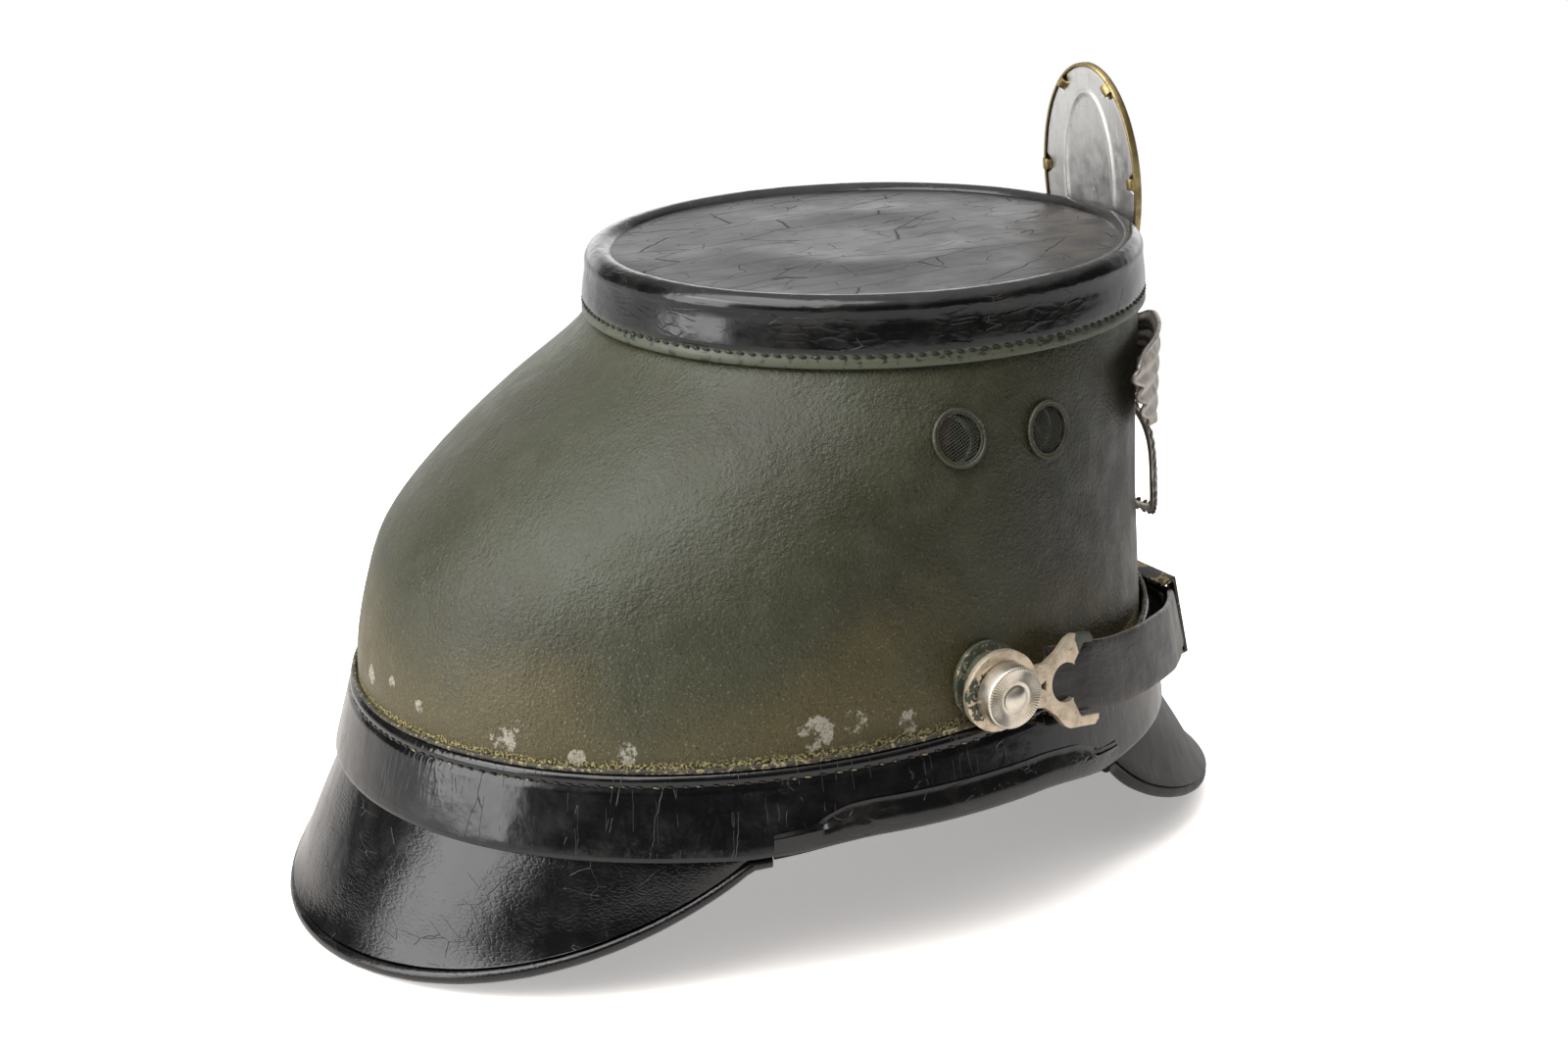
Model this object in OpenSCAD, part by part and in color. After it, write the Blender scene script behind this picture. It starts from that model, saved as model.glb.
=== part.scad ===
// Shako with a leather crown, two visors, a chinstrap on side posts, a front plate and a cockade.
// Frame: +X is the front, +Y is the wearer's left, +Z is up, and z = 0 is the table it stands on.
// Ellipses are given by half their length (along X) and half their width (along Y).

/* [Shell] */
// Length of the shell at the head band, outside
base_len = 206; // [190:1:225]
// Width of the shell at the head band, outside
base_wid = 172; // [160:1:190]
// Distance of the middle of the head opening behind the middle of the footprint
base_back = 3; // [2:0.5:4.5]
// Height of the shell's lower edge
shell_low = 41; // [40:0.5:44]
// Thickness of the moulded shell
shell_wall = 2.4; // [1.6:0.1:3.2]

/* [Crown] */
// Length of the crown at the lower edge of its skirt
crown_len = 142.6; // [130:0.2:155]
// Width of the crown at the lower edge of its skirt
crown_wid = 135.2; // [120:0.2:145]
// Distance of the crown's middle in front of the middle of the head opening
crown_fwd = 31.3; // [20:0.1:34]
// Height of the lower edge of the crown's skirt
crown_low = 136.4; // [126:0.2:146]
// Height of the skirt, without the bead
skirt_h = 12.4; // [8:0.2:16]
// Thickness of the crown leather
skirt_wall = 1.7; // [1:0.1:2.5]
// Width of the rolled bead round the crown
bead_wid = 7.4; // [5:0.2:10]
// Height of the rolled bead above the skirt
bead_h = 3.4; // [2:0.1:5]
// Thickness of the crown disc
disc_wall = 2.2; // [1.2:0.1:3]
// Rise of the crown from back to front, in degrees
crown_tilt = 1.1; // [0:0.1:2]

/* [Head band and visors] */
// Thickness of the band and visor leather
leather = 2.0; // [1.2:0.1:2.6]
// Height of the band's top edge at the sides
band_top = 56.5; // [53:0.5:62]
// Rise of the band's top edge from back to front, in degrees
band_tilt = 2.2; // [0:0.1:3]
// Height of the band's lower edge at the sides
band_low = 39; // [37:0.5:42]
// How far the band's lower edge stands off the shell
band_flare = 3.8; // [2.6:0.1:5]
// Slope of the rear visor, in degrees below the horizontal
rear_visor_slope = 62.8; // [50:0.2:68]
// Slope of the front visor, in degrees below the horizontal
front_visor_slope = 54.4; // [50:0.2:60]
// Diameter of the visors' rolled rims
rim_d = 3.6; // [2.4:0.1:4.4]
// Depth of the worn flat under each rim, on which the shako stands
rest_cut = 0.5; // [0.4:0.1:1]

/* [Side vents] */
// Outside diameter of the vents' painted rings
vent_d = 14; // [10:0.5:18]
// Diameter of the vents' mesh
vent_mesh_d = 11; // [7:0.5:13]
// Place of the rear vent of each side, in front of the middle of the head opening
vent_rear_x = 11; // [4:0.5:16]
// Distance between the two vents of a side
vent_gap = 25.5; // [20:0.5:30]
// Height of the rear vents
vent_z = 120; // [108:0.5:124]

/* [Side posts] */
// Place of the side posts, in front of the middle of the head opening
post_x = 10.5; // [4:0.5:16]
// Height of the side posts
post_z = 65.5; // [64:0.1:74]
// Diameter of the knobs
knob_d = 14.8; // [12:0.2:18]
// Length of the knobs
knob_l = 5.6; // [4:0.2:8]
// Diameter of the barrels on which the lugs turn
barrel_d = 11.6; // [9:0.1:12.2]
// Diameter of the posts' shanks
shank_d = 5; // [3:0.1:7]
// Diameter of the base washers
washer_d = 19.5; // [18:0.5:20]
// Thickness of the base washers
washer_t = 1.4; // [0.8:0.1:2]

/* [Chinstrap] */
// Width of the strap
strap_w = 16.8; // [14:0.2:17.4]
// Thickness of one layer of the strap
strap_t = 1.8; // [1.4:0.1:2]
// Distance of the strap's front run in front of the head band
strap_off = 10.8; // [10.2:0.2:17]
// Half the length of the strap's straight front run
strap_run = 28.5; // [27:0.5:30]
// Height of the strap's front run
strap_z = 43.6; // [42:0.2:46]
// Backward lean of the strap's front run, in degrees
strap_lean = 13; // [8:1:14]
// Thickness of the lugs' sheet metal
lug_t = 1.6; // [1:0.1:2]
// Diameter of the lugs' rings
lug_d = 19.4; // [17:0.2:21]
// Running clearance of the lugs on the barrels, on the radius
lug_fit = 0.05; // [0.02:0.01:0.09]
// Slope of the lugs at rest, in degrees below the horizontal
lug_slope = 7.5; // [5:0.5:10]
// Width of the sliders
slider_w = 19; // [15:0.5:20]
// Thickness of the sliders' metal
slider_t = 1.4; // [1:0.1:1.6]
// Distance of each slider's middle from the middle of the strap
slider_y = 17.2; // [14:0.2:17.6]

/* [Cockade] */
// Height of the oval cockade
cockade_h = 61; // [50:0.5:66]
// Width of the oval cockade
cockade_w = 38.6; // [34:0.2:44]
// Height of the cockade's lower end
cockade_low = 128.6; // [128.4:0.2:134]
// Backward lean of the cockade, in degrees
cockade_lean = 6; // [4:0.5:7]
// Thickness of the cockade's back plate
cockade_back_t = 0.9; // [0.6:0.1:1.4]
// Depth of the cockade's front dish
cockade_dish = 4.6; // [3:0.2:7]
// Height of the lower end of the cockade's spike
spike_low = 102; // [98:0.5:104]
// Width of the spike
spike_w = 8; // [5:0.5:10]
// Thickness of the spike
spike_t = 0.9; // [0.6:0.1:1]

/* [Front plate] */
// Angle that each side of the fan spans round the shell, in degrees
fan_angle = 58; // [40:1:60]
// Height of the fan's lower edge
fan_low = 106.4; // [106:0.2:110]
// Height of the fan's upper corners
fan_top = 131; // [126:0.5:132]
// Thickness of the fan's sheet metal
plate_t = 1; // [0.8:0.1:1.2]
// Distance of the fan off the shell
plate_gap = 3.8; // [3.8:0.1:4.4]
// Depth of the fan's flutes
flute_deep = 0.9; // [0.4:0.1:1.2]
// Number of flutes on each side of the fan
flutes = 5; // [4:1:6]
// Angle that each side of the wreath spans round the shell, in degrees
wreath_angle = 33; // [24:1:36]
// Height of the wreath's middle
wreath_z = 89; // [88:0.2:89.2]
// Half the height of the wreath
wreath_h = 14.6; // [12:0.2:15]
// Diameter of the wreath's leafy roll
wreath_d = 3.6; // [3:0.1:4.4]

/* [Lining] */
// Width of the sweatband
sweat_h = 38; // [28:1:42]
// Thickness of the sweatband
sweat_t = 1.2; // [0.8:0.1:1.6]
// Thickness of the felt behind the sweatband
felt_t = 3.2; // [2.4:0.1:3.4]
// Number of tongues in the lining
tongues = 8; // [6:1:10]
// Height of the tongues' upper ends
tongue_top = 117; // [108:0.5:122]

/* [Hidden] */

around = 72;
base_x = -base_back;
base_a = base_len/2;
base_b = base_wid/2;
crown_a = crown_len/2;
crown_b = crown_wid/2;
gap = 0.15;
seat = 0.3;
straight_to = 50;

leather_color = [0.07, 0.07, 0.075];
paint_color = [0.27, 0.29, 0.22];
metal_color = [0.72, 0.71, 0.68];
brass_color = [0.66, 0.58, 0.38];
lining_color = [0.42, 0.30, 0.19];

function clamp01(t) = min(1, max(0, t));
function smooth(t) = let(u = clamp01(t)) u*u*(3 - 2*u);
function mix(a, b, t) = a + (b - a)*t;
function hermite(p, q, m, n, t) =
    (2*t*t*t - 3*t*t + 1)*p + (t*t*t - 2*t*t + t)*m + (3*t*t - 2*t*t*t)*q + (t*t*t - t*t)*n;
function knot_slope(list, i) =
    let(lo = max(0, i - 1), hi = min(len(list) - 1, i + 1))
    (list[hi][1] - list[lo][1])/(list[hi][0] - list[lo][0]);
function curve_at(list, s, i = 0) =
    (i >= len(list) - 2 || s <= list[i + 1][0])
        ? let(w = list[i + 1][0] - list[i][0])
          hermite(list[i][1], list[i + 1][1], w*knot_slope(list, i), w*knot_slope(list, i + 1),
                  clamp01((s - list[i][0])/w))
        : curve_at(list, s, i + 1);

// Closed ring of rings: each ring is a list of points, and the rings follow a closed section
module ring_loft(rings) {
    m = len(rings);
    n = len(rings[0]);
    polyhedron(
        points = [for (r = rings) each r],
        faces = [for (i = [0:m - 1]) let(k = (i + 1) % m) for (j = [0:n - 1]) let(l = (j + 1) % n)
            each [[i*n + j, k*n + j, k*n + l], [i*n + j, k*n + l, i*n + l]]],
        convexity = 8);
}

// Solid through a row of sections with the same number of points, closed by its two end sections
module row_loft(rows) {
    m = len(rows);
    n = len(rows[0]);
    polyhedron(
        points = [for (r = rows) each r],
        faces = concat(
            [for (i = [0:m - 2]) for (j = [0:n - 1]) let(l = (j + 1) % n)
                each [[i*n + j, i*n + l, (i + 1)*n + l], [i*n + j, (i + 1)*n + l, (i + 1)*n + j]]],
            [[for (j = [n - 1:-1:0]) j]],
            [[for (j = [0:n - 1]) (m - 1)*n + j]]),
        convexity = 8);
}

// Thin sheet between a front and a back grid of points, each a list of rows
module sheet_loft(front, back) {
    m = len(front);
    n = len(front[0]);
    at = function(i, j, side) (side*m + i)*n + j;
    polyhedron(
        points = concat([for (r = front) each r], [for (r = back) each r]),
        faces = [
            for (i = [0:m - 2]) for (j = [0:n - 2]) each [
                [at(i, j, 0), at(i, j + 1, 0), at(i + 1, j + 1, 0)],
                [at(i, j, 0), at(i + 1, j + 1, 0), at(i + 1, j, 0)],
                [at(i, j, 1), at(i + 1, j + 1, 1), at(i, j + 1, 1)],
                [at(i, j, 1), at(i + 1, j, 1), at(i + 1, j + 1, 1)]],
            for (i = [0:m - 2]) each [
                [at(i, 0, 0), at(i + 1, 0, 0), at(i + 1, 0, 1)], [at(i, 0, 0), at(i + 1, 0, 1), at(i, 0, 1)],
                [at(i, n - 1, 0), at(i + 1, n - 1, 1), at(i + 1, n - 1, 0)],
                [at(i, n - 1, 0), at(i, n - 1, 1), at(i + 1, n - 1, 1)]],
            for (j = [0:n - 2]) each [
                [at(0, j, 0), at(0, j + 1, 1), at(0, j + 1, 0)], [at(0, j, 0), at(0, j, 1), at(0, j + 1, 1)],
                [at(m - 1, j, 0), at(m - 1, j + 1, 0), at(m - 1, j + 1, 1)],
                [at(m - 1, j, 0), at(m - 1, j + 1, 1), at(m - 1, j, 1)]]],
        convexity = 8);
}

function oval(cx, a, b, z, slope = 0) =
    [for (j = [0:around - 1]) let(t = 360*j/around) [cx + a*cos(t), b*sin(t), z + slope*a*cos(t)]];

// Shell outline: front, back and half width at a height
rear_shape = [[0, 0], [0.14, 0.004], [0.3, 0.045], [0.46, 0.122], [0.62, 0.318], [0.78, 0.595],
    [0.92, 0.893], [1, 1]];
crown_in = skirt_wall + gap;
shell_s = function(z) clamp01((z - straight_to)/(crown_low - straight_to));
shell_front = function(z) mix(base_a, crown_fwd + crown_a - crown_in, shell_s(z));
shell_rear = function(z)
    mix(-base_a, crown_fwd - crown_a + crown_in, curve_at(rear_shape, shell_s(z)));
shell_half = function(z) base_b - (base_b - crown_b + crown_in)*pow(shell_s(z), 1.25);
shell_mid = function(z) (shell_front(z) + shell_rear(z))/2;
shell_reach = function(z) (shell_front(z) - shell_rear(z))/2;
tilt_at = function(z) tan(crown_tilt)*pow(shell_s(z), 3);
function shell_oval(z, inset = 0, up = 0) =
    oval(shell_mid(z + up), shell_reach(z + up) - inset, shell_half(z + up) - inset, z, tilt_at(z));
function shell_side_y(x, z) = shell_half(z)*sqrt(1 - pow((x - shell_mid(z))/shell_reach(z), 2));
function shell_front_x(y, z) = shell_mid(z) + shell_reach(z)*sqrt(1 - pow(y/shell_half(z), 2));
shell_top = crown_low + skirt_h - disc_wall - 0.2;
shell_levels = [shell_low, straight_to, 57, 65, 73, 81, 89, 97, 104, 111, 118, 124, 129, 133,
    crown_low - 0.6];

module at_opening() {
    translate([base_x, 0, 0]) children();
}

module both_sides() {
    children();
    mirror([0, 1, 0]) children();
}

// Children as drawn (side = 1) or mirrored to the other side (side = -1)
module on_side(side) {
    if (side < 0) mirror([0, 1, 0]) children();
    else children();
}

// Crown: the skirt leans in a little towards the bead
lean_a = 0.7;
lean_b = 1.9;
disc_z = crown_low + skirt_h;
function crown_oval(off, z) =
    let(q = clamp01((z - crown_low)/skirt_h))
    oval(crown_fwd, crown_a - q*lean_a - off, crown_b - q*lean_b - off, z, tan(crown_tilt));

module shell() {
    color(paint_color) at_opening() difference() {
        ring_loft(concat(
            [for (z = shell_levels) shell_oval(z)],
            [crown_oval(crown_in, crown_low - 0.2), crown_oval(crown_in, shell_top)],
            [crown_oval(crown_in + shell_wall, shell_top), crown_oval(crown_in + shell_wall, crown_low)],
            [for (i = [len(shell_levels) - 2:-1:0]) shell_oval(shell_levels[i], shell_wall, 0.6*shell_wall)]));
        both_sides() {
            for (x = vent_xs) vent_place(x) cylinder(d = vent_mesh_d + 1.2, h = 30, center = true, $fn = 32);
            post_place() cylinder(d = shank_d + 2*gap, h = 30, center = true, $fn = 32);
        }
        for (p = stud_places) front_place(p) cylinder(d = stud_d + 2*gap, h = 12, center = true, $fn = 24);
    }
}

module crown_cap() {
    bead = [for (f = [0:20:180]) [bead_wid/2*(1 - cos(f)), disc_z + 0.2 + bead_h*sin(f)]];
    color(leather_color) at_opening() ring_loft(concat(
        [crown_oval(0, crown_low), crown_oval(0, crown_low + 0.5*skirt_h)],
        [for (p = bead) crown_oval(p[0], p[1])],
        [crown_oval(bead_wid, disc_z + 0.05), crown_oval(skirt_wall, disc_z + 0.05)],
        [crown_oval(skirt_wall, crown_low)]));
}

module crown_disc() {
    shape = [[0.2, 0.2], [0.38, 0.9], [0.46, 0.9], [0.56, 0.3], [0.8, -0.1], [0.9, 0]];
    in = crown_in;
    color(leather_color) at_opening() row_loft([
        for (r = concat([[0.97, -disc_wall], [0.97, 0]], [for (i = [len(shape) - 1:-1:0]) shape[i]]))
            let(q = crown_oval(in, disc_z)) [for (j = [around - 1:-1:0])
                [crown_fwd + r[0]*(q[j][0] - crown_fwd)/0.97, r[0]*q[j][1]/0.97, disc_z + r[1]
                    + tan(crown_tilt)*r[0]*(q[j][0] - crown_fwd)]]]);
}

// Head band: edges as functions of the angle round the opening
side_from = 65;
side_to = 61;
band_edge = function(t) let(c = abs(cos(t)))
    band_low - 3.6*smooth((c - 0.2)/0.3) - 1.4*smooth((c - 0.5)/0.5);
band_rim = function(t) band_top + tan(band_tilt)*base_a*cos(t);
band_off = function(t, z) mix(gap, band_flare, clamp01((band_rim(t) - z)/(band_rim(t) - band_edge(t))));
function base_point(t, off, z) = [(base_a + off)*cos(t), (base_b + off)*sin(t), z];
function base_ring(f) = [for (j = [0:around - 1]) let(t = 360*j/around, p = f(t)) base_point(t, p[0], p[1])];

module base_band() {
    color(leather_color) at_opening() ring_loft([
        base_ring(function(t) [band_flare + leather, band_edge(t)]),
        base_ring(function(t) [band_off(t, band_edge(t) + 5) + leather + 0.3, band_edge(t) + 5]),
        base_ring(function(t) [gap + leather, band_rim(t) - 2]),
        base_ring(function(t) [gap + 0.6*leather, band_rim(t)]),
        base_ring(function(t) [gap, band_rim(t)]),
        base_ring(function(t) [band_flare, band_edge(t)])]);
}

module band_piping() {
    r = 0.7;
    color(paint_color) at_opening() ring_loft([for (f = [0:60:300])
        base_ring(function(t) [gap + r + r*cos(f), band_rim(t) + r + 0.05 + r*sin(-f)])]);
}

module side_binding(side) {
    h = 7.5;
    t_bind = 0.8;
    from = side_to;
    to = 180 - side_from;
    color(leather_color) at_opening() on_side(side) row_loft([
        for (i = [0:16]) let(t = mix(from, to, i/16), e = band_edge(t), o = band_flare + leather)
            [base_point(t, band_off(t, e + h) + leather + 0.42, e + h),
             base_point(t, band_off(t, e + h) + leather + t_bind, e + h),
             base_point(t, o + t_bind + 0.4, e + 2),
             base_point(t, o + t_bind, e - 0.9),
             base_point(t, -shell_wall, e - 0.9),
             base_point(t, -shell_wall, e - 0.1),
             base_point(t, o + 0.1, e - 0.1),
             base_point(t, o + 0.5, e + 2)]]);
}

module side_binding_right() { side_binding(-1); }

module side_binding_left() { side_binding(1); }

// A visor: its width and slope fade from the middle (u = 0) to the ends (u = 1).
// The width at the middle brings the rim down to the table, less the worn flat.
flange = 8;
rim_r = rim_d/2;
rim_fit = 0.15;
visor_steps = 36;
width_at = function(slope)
    rim_r - rim_fit + (band_edge(0) - 0.1 + rest_cut - rim_r - leather/2*cos(slope))/sin(slope);
rear_visor_w = width_at(rear_visor_slope);
front_visor_w = width_at(front_visor_slope);
rear_fade = [1.98, 0.856, 25];
front_fade = [1.62, 0.69, 28];
visor_w = function(w, k, u) w*pow(max(0, 1 - pow(abs(u), k[0])), k[1]);
visor_slope = function(slope, k, u) slope + k[2]*u*u;
function visor_point(dir, t, r, z) =
    let(nx = cos(t)/base_a, ny = sin(t)/base_b, l = norm([nx, ny]), q = base_point(t, band_flare - 0.25, z))
    [dir*(q[0] + r*nx/l), q[1] + r*ny/l, z];

module visor(dir, end, w, slope, k) {
    color(leather_color) at_opening() rest_flat() row_loft([
        for (i = [0:visor_steps])
            let(u = -1 + 2*i/visor_steps, t = end*u, e = band_edge(t) - 0.1,
                len_u = max(0.6, visor_w(w, k, u) - rim_d), s = visor_slope(slope, k, u),
                top = band_off(dir > 0 ? t : 180 - t, e + flange) - band_flare)
            dir > 0 ? visor_section(dir, t, e, len_u, s, top)
                : reverse(visor_section(dir, t, e, len_u, s, top))]);
}
function reverse(list) = [for (i = [len(list) - 1:-1:0]) list[i]];
function visor_section(dir, t, e, w, s, top) = [
    visor_point(dir, t, top - 0.1, e + flange),
    visor_point(dir, t, 0, e),
    visor_point(dir, t, 0.5*w*cos(s) + 0.5, e - 0.5*w*sin(s) + 0.3),
    visor_point(dir, t, w*cos(s), e - w*sin(s)),
    visor_point(dir, t, w*cos(s) - leather*sin(s), e - w*sin(s) - leather*cos(s)),
    visor_point(dir, t, 0.5*w*cos(s) + 0.5 - leather*sin(s), e + 0.3 - 0.5*w*sin(s) - leather*cos(s)),
    visor_point(dir, t, -leather, e - 0.4*leather),
    visor_point(dir, t, top - 0.1 - 0.8*leather, e + flange)];

module visor_edge(dir, end, w, slope, k) {
    r = rim_r;
    color(leather_color) at_opening() rest_flat() row_loft([
        for (i = [0:visor_steps])
            let(u = -1 + 2*i/visor_steps, t = end*u, e = band_edge(t) - 0.1,
                m = max(0.6, visor_w(w, k, u) - rim_d) + r + rim_fit, s = visor_slope(slope, k, u),
                cr = m*cos(s) - leather/2*sin(s), cz = e - m*sin(s) - leather/2*cos(s))
            [for (f = (dir > 0 ? [22.5:45:360] : [337.5:-45:0]))
                visor_point(dir, t, cr + r*cos(f - s), cz + r*sin(f - s))]]);
}

module rest_flat() {
    difference() {
        children();
        translate([-base_len, -base_wid, -rim_d]) cube([2*base_len, 2*base_wid, rim_d]);
    }
}

module rear_visor() { visor(-1, side_from, rear_visor_w, rear_visor_slope, rear_fade); }

module front_visor() { visor(1, side_to, front_visor_w, front_visor_slope, front_fade); }

module rear_visor_edge() { visor_edge(-1, side_from, rear_visor_w, rear_visor_slope, rear_fade); }

module front_visor_edge() { visor_edge(1, side_to, front_visor_w, front_visor_slope, front_fade); }

// Vents: local +Z points out of the shell's right side
vent_xs = [vent_rear_x, vent_rear_x + vent_gap];
vent_height = function(x) vent_z - 0.075*(x - vent_rear_x);
function side_slope(x, z, dx, dz) = (shell_side_y(x - dx, z - dz) - shell_side_y(x + dx, z + dz))/(2*(dx + dz));
function side_lean(x, z) = atan(side_slope(x, z, 0, 2)/sqrt(1 + pow(side_slope(x, z, 2, 0), 2)));

// On the shell's side, square to its surface
module side_place(x, z) {
    translate([x, -shell_side_y(x, z), z]) rotate([0, 0, atan(side_slope(x, z, 2, 0))])
        rotate([90 - side_lean(x, z), 0, 0]) children();
}

module vent_place(x) {
    side_place(x, vent_height(x)) children();
}

module vent_grommets() {
    color(paint_color) at_opening() both_sides() for (x = vent_xs) vent_place(x)
        rotate_extrude($fn = 40) polygon([[vent_mesh_d/2, 0.35], [vent_d/2 - 0.3, 0.35], [vent_d/2, 0.7],
            [vent_d/2 - 0.6, 1.25], [vent_mesh_d/2 + 0.5, 1.35], [vent_mesh_d/2, 0.9]]);
}

module vent_meshes() {
    color([0.1, 0.1, 0.1]) at_opening() both_sides() for (x = vent_xs) vent_place(x)
        translate([0, 0, -0.3]) cylinder(d = vent_mesh_d - 0.1, h = 0.8, $fn = 40);
}

module vent_rings() {
    color(metal_color) at_opening() both_sides() for (x = vent_xs) vent_place(x)
        difference() {
            translate([0, 0, -shell_wall - 2.2]) cylinder(d = vent_d, h = 1.1, $fn = 40);
            translate([0, 0, -shell_wall - 3]) cylinder(d = vent_mesh_d - 1, h = 4, $fn = 40);
        }
}

// Side posts: local +Z points out of the shell's right side, along the swing axis
post_wall_y = shell_side_y(post_x, post_z);
washer_lean = side_lean(post_x, post_z);
collar_out = shell_side_y(post_x, post_z - washer_d/2) + washer_t + 1.8;
lug_in = collar_out + 0.3;
barrel_l = lug_t + 0.6;
knob_in = collar_out + barrel_l;

module post_place() {
    translate([post_x, 0, post_z]) rotate([90, 0, 0]) translate([0, 0, post_wall_y]) children();
}

module post_axis() {
    translate([post_x, 0, post_z]) rotate([90, 0, 0]) children();
}

// The washers' lower edges are cut off level, above the head band
washer_cut = (post_z - band_top - tan(band_tilt)*(post_x + washer_d/2) - 1.9)/cos(washer_lean);

module post_washers() {
    color(paint_color) at_opening() both_sides()
        side_place(post_x, post_z) translate([0, 0, seat])
            difference() {
                cylinder(d = washer_d, h = washer_t, $fn = 48);
                translate([0, 0, -1]) cylinder(d = shank_d + 1, h = washer_t + 2, $fn = 32);
                translate([-washer_d, -washer_d - washer_cut, -1]) cube([2*washer_d, washer_d, washer_t + 2]);
            }
}

module post_collars() {
    color(metal_color) at_opening() both_sides() difference() {
        post_axis() cylinder(d = washer_d - 4, h = collar_out, $fn = 48);
        post_axis() translate([0, 0, -1]) cylinder(d = shank_d + 2*gap, h = collar_out + 2, $fn = 32);
        side_place(post_x, post_z)
            translate([-40, -40, -90 + washer_t + seat + 0.02]) cube([80, 80, 90]);
        post_axis() translate([-washer_d, -washer_d - washer_cut, -1])
            cube([2*washer_d, washer_d, collar_out + 2]);
    }
}

nut_h = 2;
nut_in = 1.1*shell_wall + seat;
shank_in = post_wall_y - nut_in - nut_h - 0.7;

module post() {
    color(metal_color) at_opening() post_axis() {
        translate([0, 0, collar_out]) cylinder(d = barrel_d, h = barrel_l + 0.5, $fn = 64);
        translate([0, 0, knob_in]) difference() {
            cylinder(d = knob_d, h = knob_l - 0.6, $fn = 64);
            for (i = [0:35]) rotate(10*i) translate([knob_d/2 - 2.4, -0.18, knob_l - 1.1])
                cube([4, 0.36, 1]);
        }
        translate([0, 0, shank_in]) cylinder(d = shank_d, h = collar_out - shank_in + 0.5, $fn = 48);
    }
}

module post_right() { post(); }

module post_left() { on_side(-1) post(); }

module knob_domes() {
    r = 4.4;
    color(metal_color) at_opening() both_sides() post_axis() translate([0, 0, knob_in + knob_l - 0.6])
        intersection() {
            translate([0, 0, -r + 1.3]) sphere(r = r, $fn = 48);
            cylinder(r = r, h = 3, $fn = 48);
        }
}

module post_nuts() {
    color(metal_color) at_opening() both_sides() difference() {
        side_place(post_x, post_z) translate([0, nut_in*tan(washer_lean), -nut_in - nut_h])
            cylinder(d = 11, h = nut_h, $fn = 6);
        post_axis() cylinder(d = shank_d + 2*gap, h = post_wall_y, $fn = 48);
    }
}

// Front plate: a fluted fan over a leafy wreath, bent round the shell's front.
// Places on it are an angle round the shell and a height, and local +Z points out of the shell.
function front_point(phi, z, off) =
    [shell_mid(z) + (shell_reach(z) + off)*cos(phi), (shell_half(z) + off)*sin(phi), z];
stud_d = 3;
stud_in = 3.6;
wreath_r = wreath_d/2;
wreath_leaf = 0.32;
spike_x = max(crown_fwd + crown_a, shell_front(spike_low)) + seat;
spike_fit = 0.3;
pocket_wall = 0.5;
pocket_fit = 0.25;
pocket_low = 110;
pocket_h = 14;
wreath_fit = 0.2;
plate_off = max(plate_gap,
    spike_x + spike_t + spike_fit + pocket_wall + pocket_fit - shell_front(pocket_low + pocket_h),
    spike_x + spike_t + wreath_fit + (0.8*(1 + wreath_leaf) - 0.3)*wreath_r
        - shell_front(wreath_z + wreath_h + 0.8*wreath_r));
wreath_off = plate_off + 0.3*wreath_r;
stud_places = [[-32, fan_low + 10], [32, fan_low + 10], [0, wreath_z - wreath_h]];

module front_place(p) {
    turn = atan2(sin(p[0])/shell_half(p[1]), cos(p[0])/shell_reach(p[1]));
    translate(front_point(p[0], p[1], 0)) rotate([0, 0, turn]) rotate([0, 90, 0]) children();
}

fan_shape = [[0, 0.62], [0.12, 0.78], [0.35, 0.88], [0.6, 0.95], [0.84, 1], [1, 0.76]];
fan_dip = 5.5;
fan_edge = function(v) fan_angle*curve_at(fan_shape, v) + 1.4*abs(sin(180*flutes*v)) - 1.4;
fan_height = function(phi) fan_top - fan_low - fan_dip*(1 - smooth((abs(phi) - 10)/18));
fan_relief = function(phi, v) flute_deep*(0.5 + 0.5*cos(360*flutes*v))*smooth((abs(phi) - 13)/8);

module front_plate() {
    rows = 6*flutes;
    cols = 26;
    point = function(i, j, off) let(v = i/rows, phi = fan_edge(v)*(2*j/cols - 1))
        front_point(phi, fan_low + v*fan_height(phi), plate_off + off + fan_relief(phi, v));
    color(metal_color) at_opening() sheet_loft(
        [for (i = [rows:-1:0]) [for (j = [0:cols]) point(i, j, plate_t)]],
        [for (i = [rows:-1:0]) [for (j = [0:cols]) point(i, j, 0)]]);
}

module plate_wreath() {
    steps = 84;
    leaf = function(s) 1 + wreath_leaf*abs(sin(6*s));
    color(metal_color) at_opening() ring_loft([for (f = [0:45:315])
        [for (j = [0:steps - 1]) let(s = -360*j/steps, r = wreath_r*leaf(s),
                k = 1 + r*cos(f)/wreath_h)
            front_point(wreath_angle*(1 + 0.5*(k - 1))*cos(s), wreath_z + wreath_h*k*sin(s),
                wreath_off + wreath_r*leaf(s)*0.8*sin(f))]]);
}

// The boss stands upright before a plate that leans with the shell, so its lift follows that lean
boss_d = 17;
boss_z = fan_low + 10;
boss_lean = (shell_front(boss_z - boss_d/2) - shell_front(boss_z + boss_d/2))/boss_d;
boss_lift = max(0.35, boss_lean*boss_d/2 + 0.12);

module plate_boss() {
    color(metal_color) at_opening() front_place([0, boss_z])
        translate([0, 0, plate_off + plate_t + boss_lift]) {
            cylinder(d = boss_d, h = 1, $fn = 48);
            cylinder(d = 13.6, h = 2, $fn = 48);
            translate([0, 0, 2]) cylinder(d1 = 10.4, d2 = 7.6, h = 1, $fn = 48);
        }
}

module plate_studs() {
    color(metal_color) at_opening() for (p = stud_places) front_place(p)
        translate([0, 0, -shell_wall - stud_in]) cylinder(d = stud_d, h = shell_wall + stud_in
            + (p[0] == 0 ? wreath_off - 0.8*wreath_r : plate_off) - 0.1, $fn = 24);
}

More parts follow.
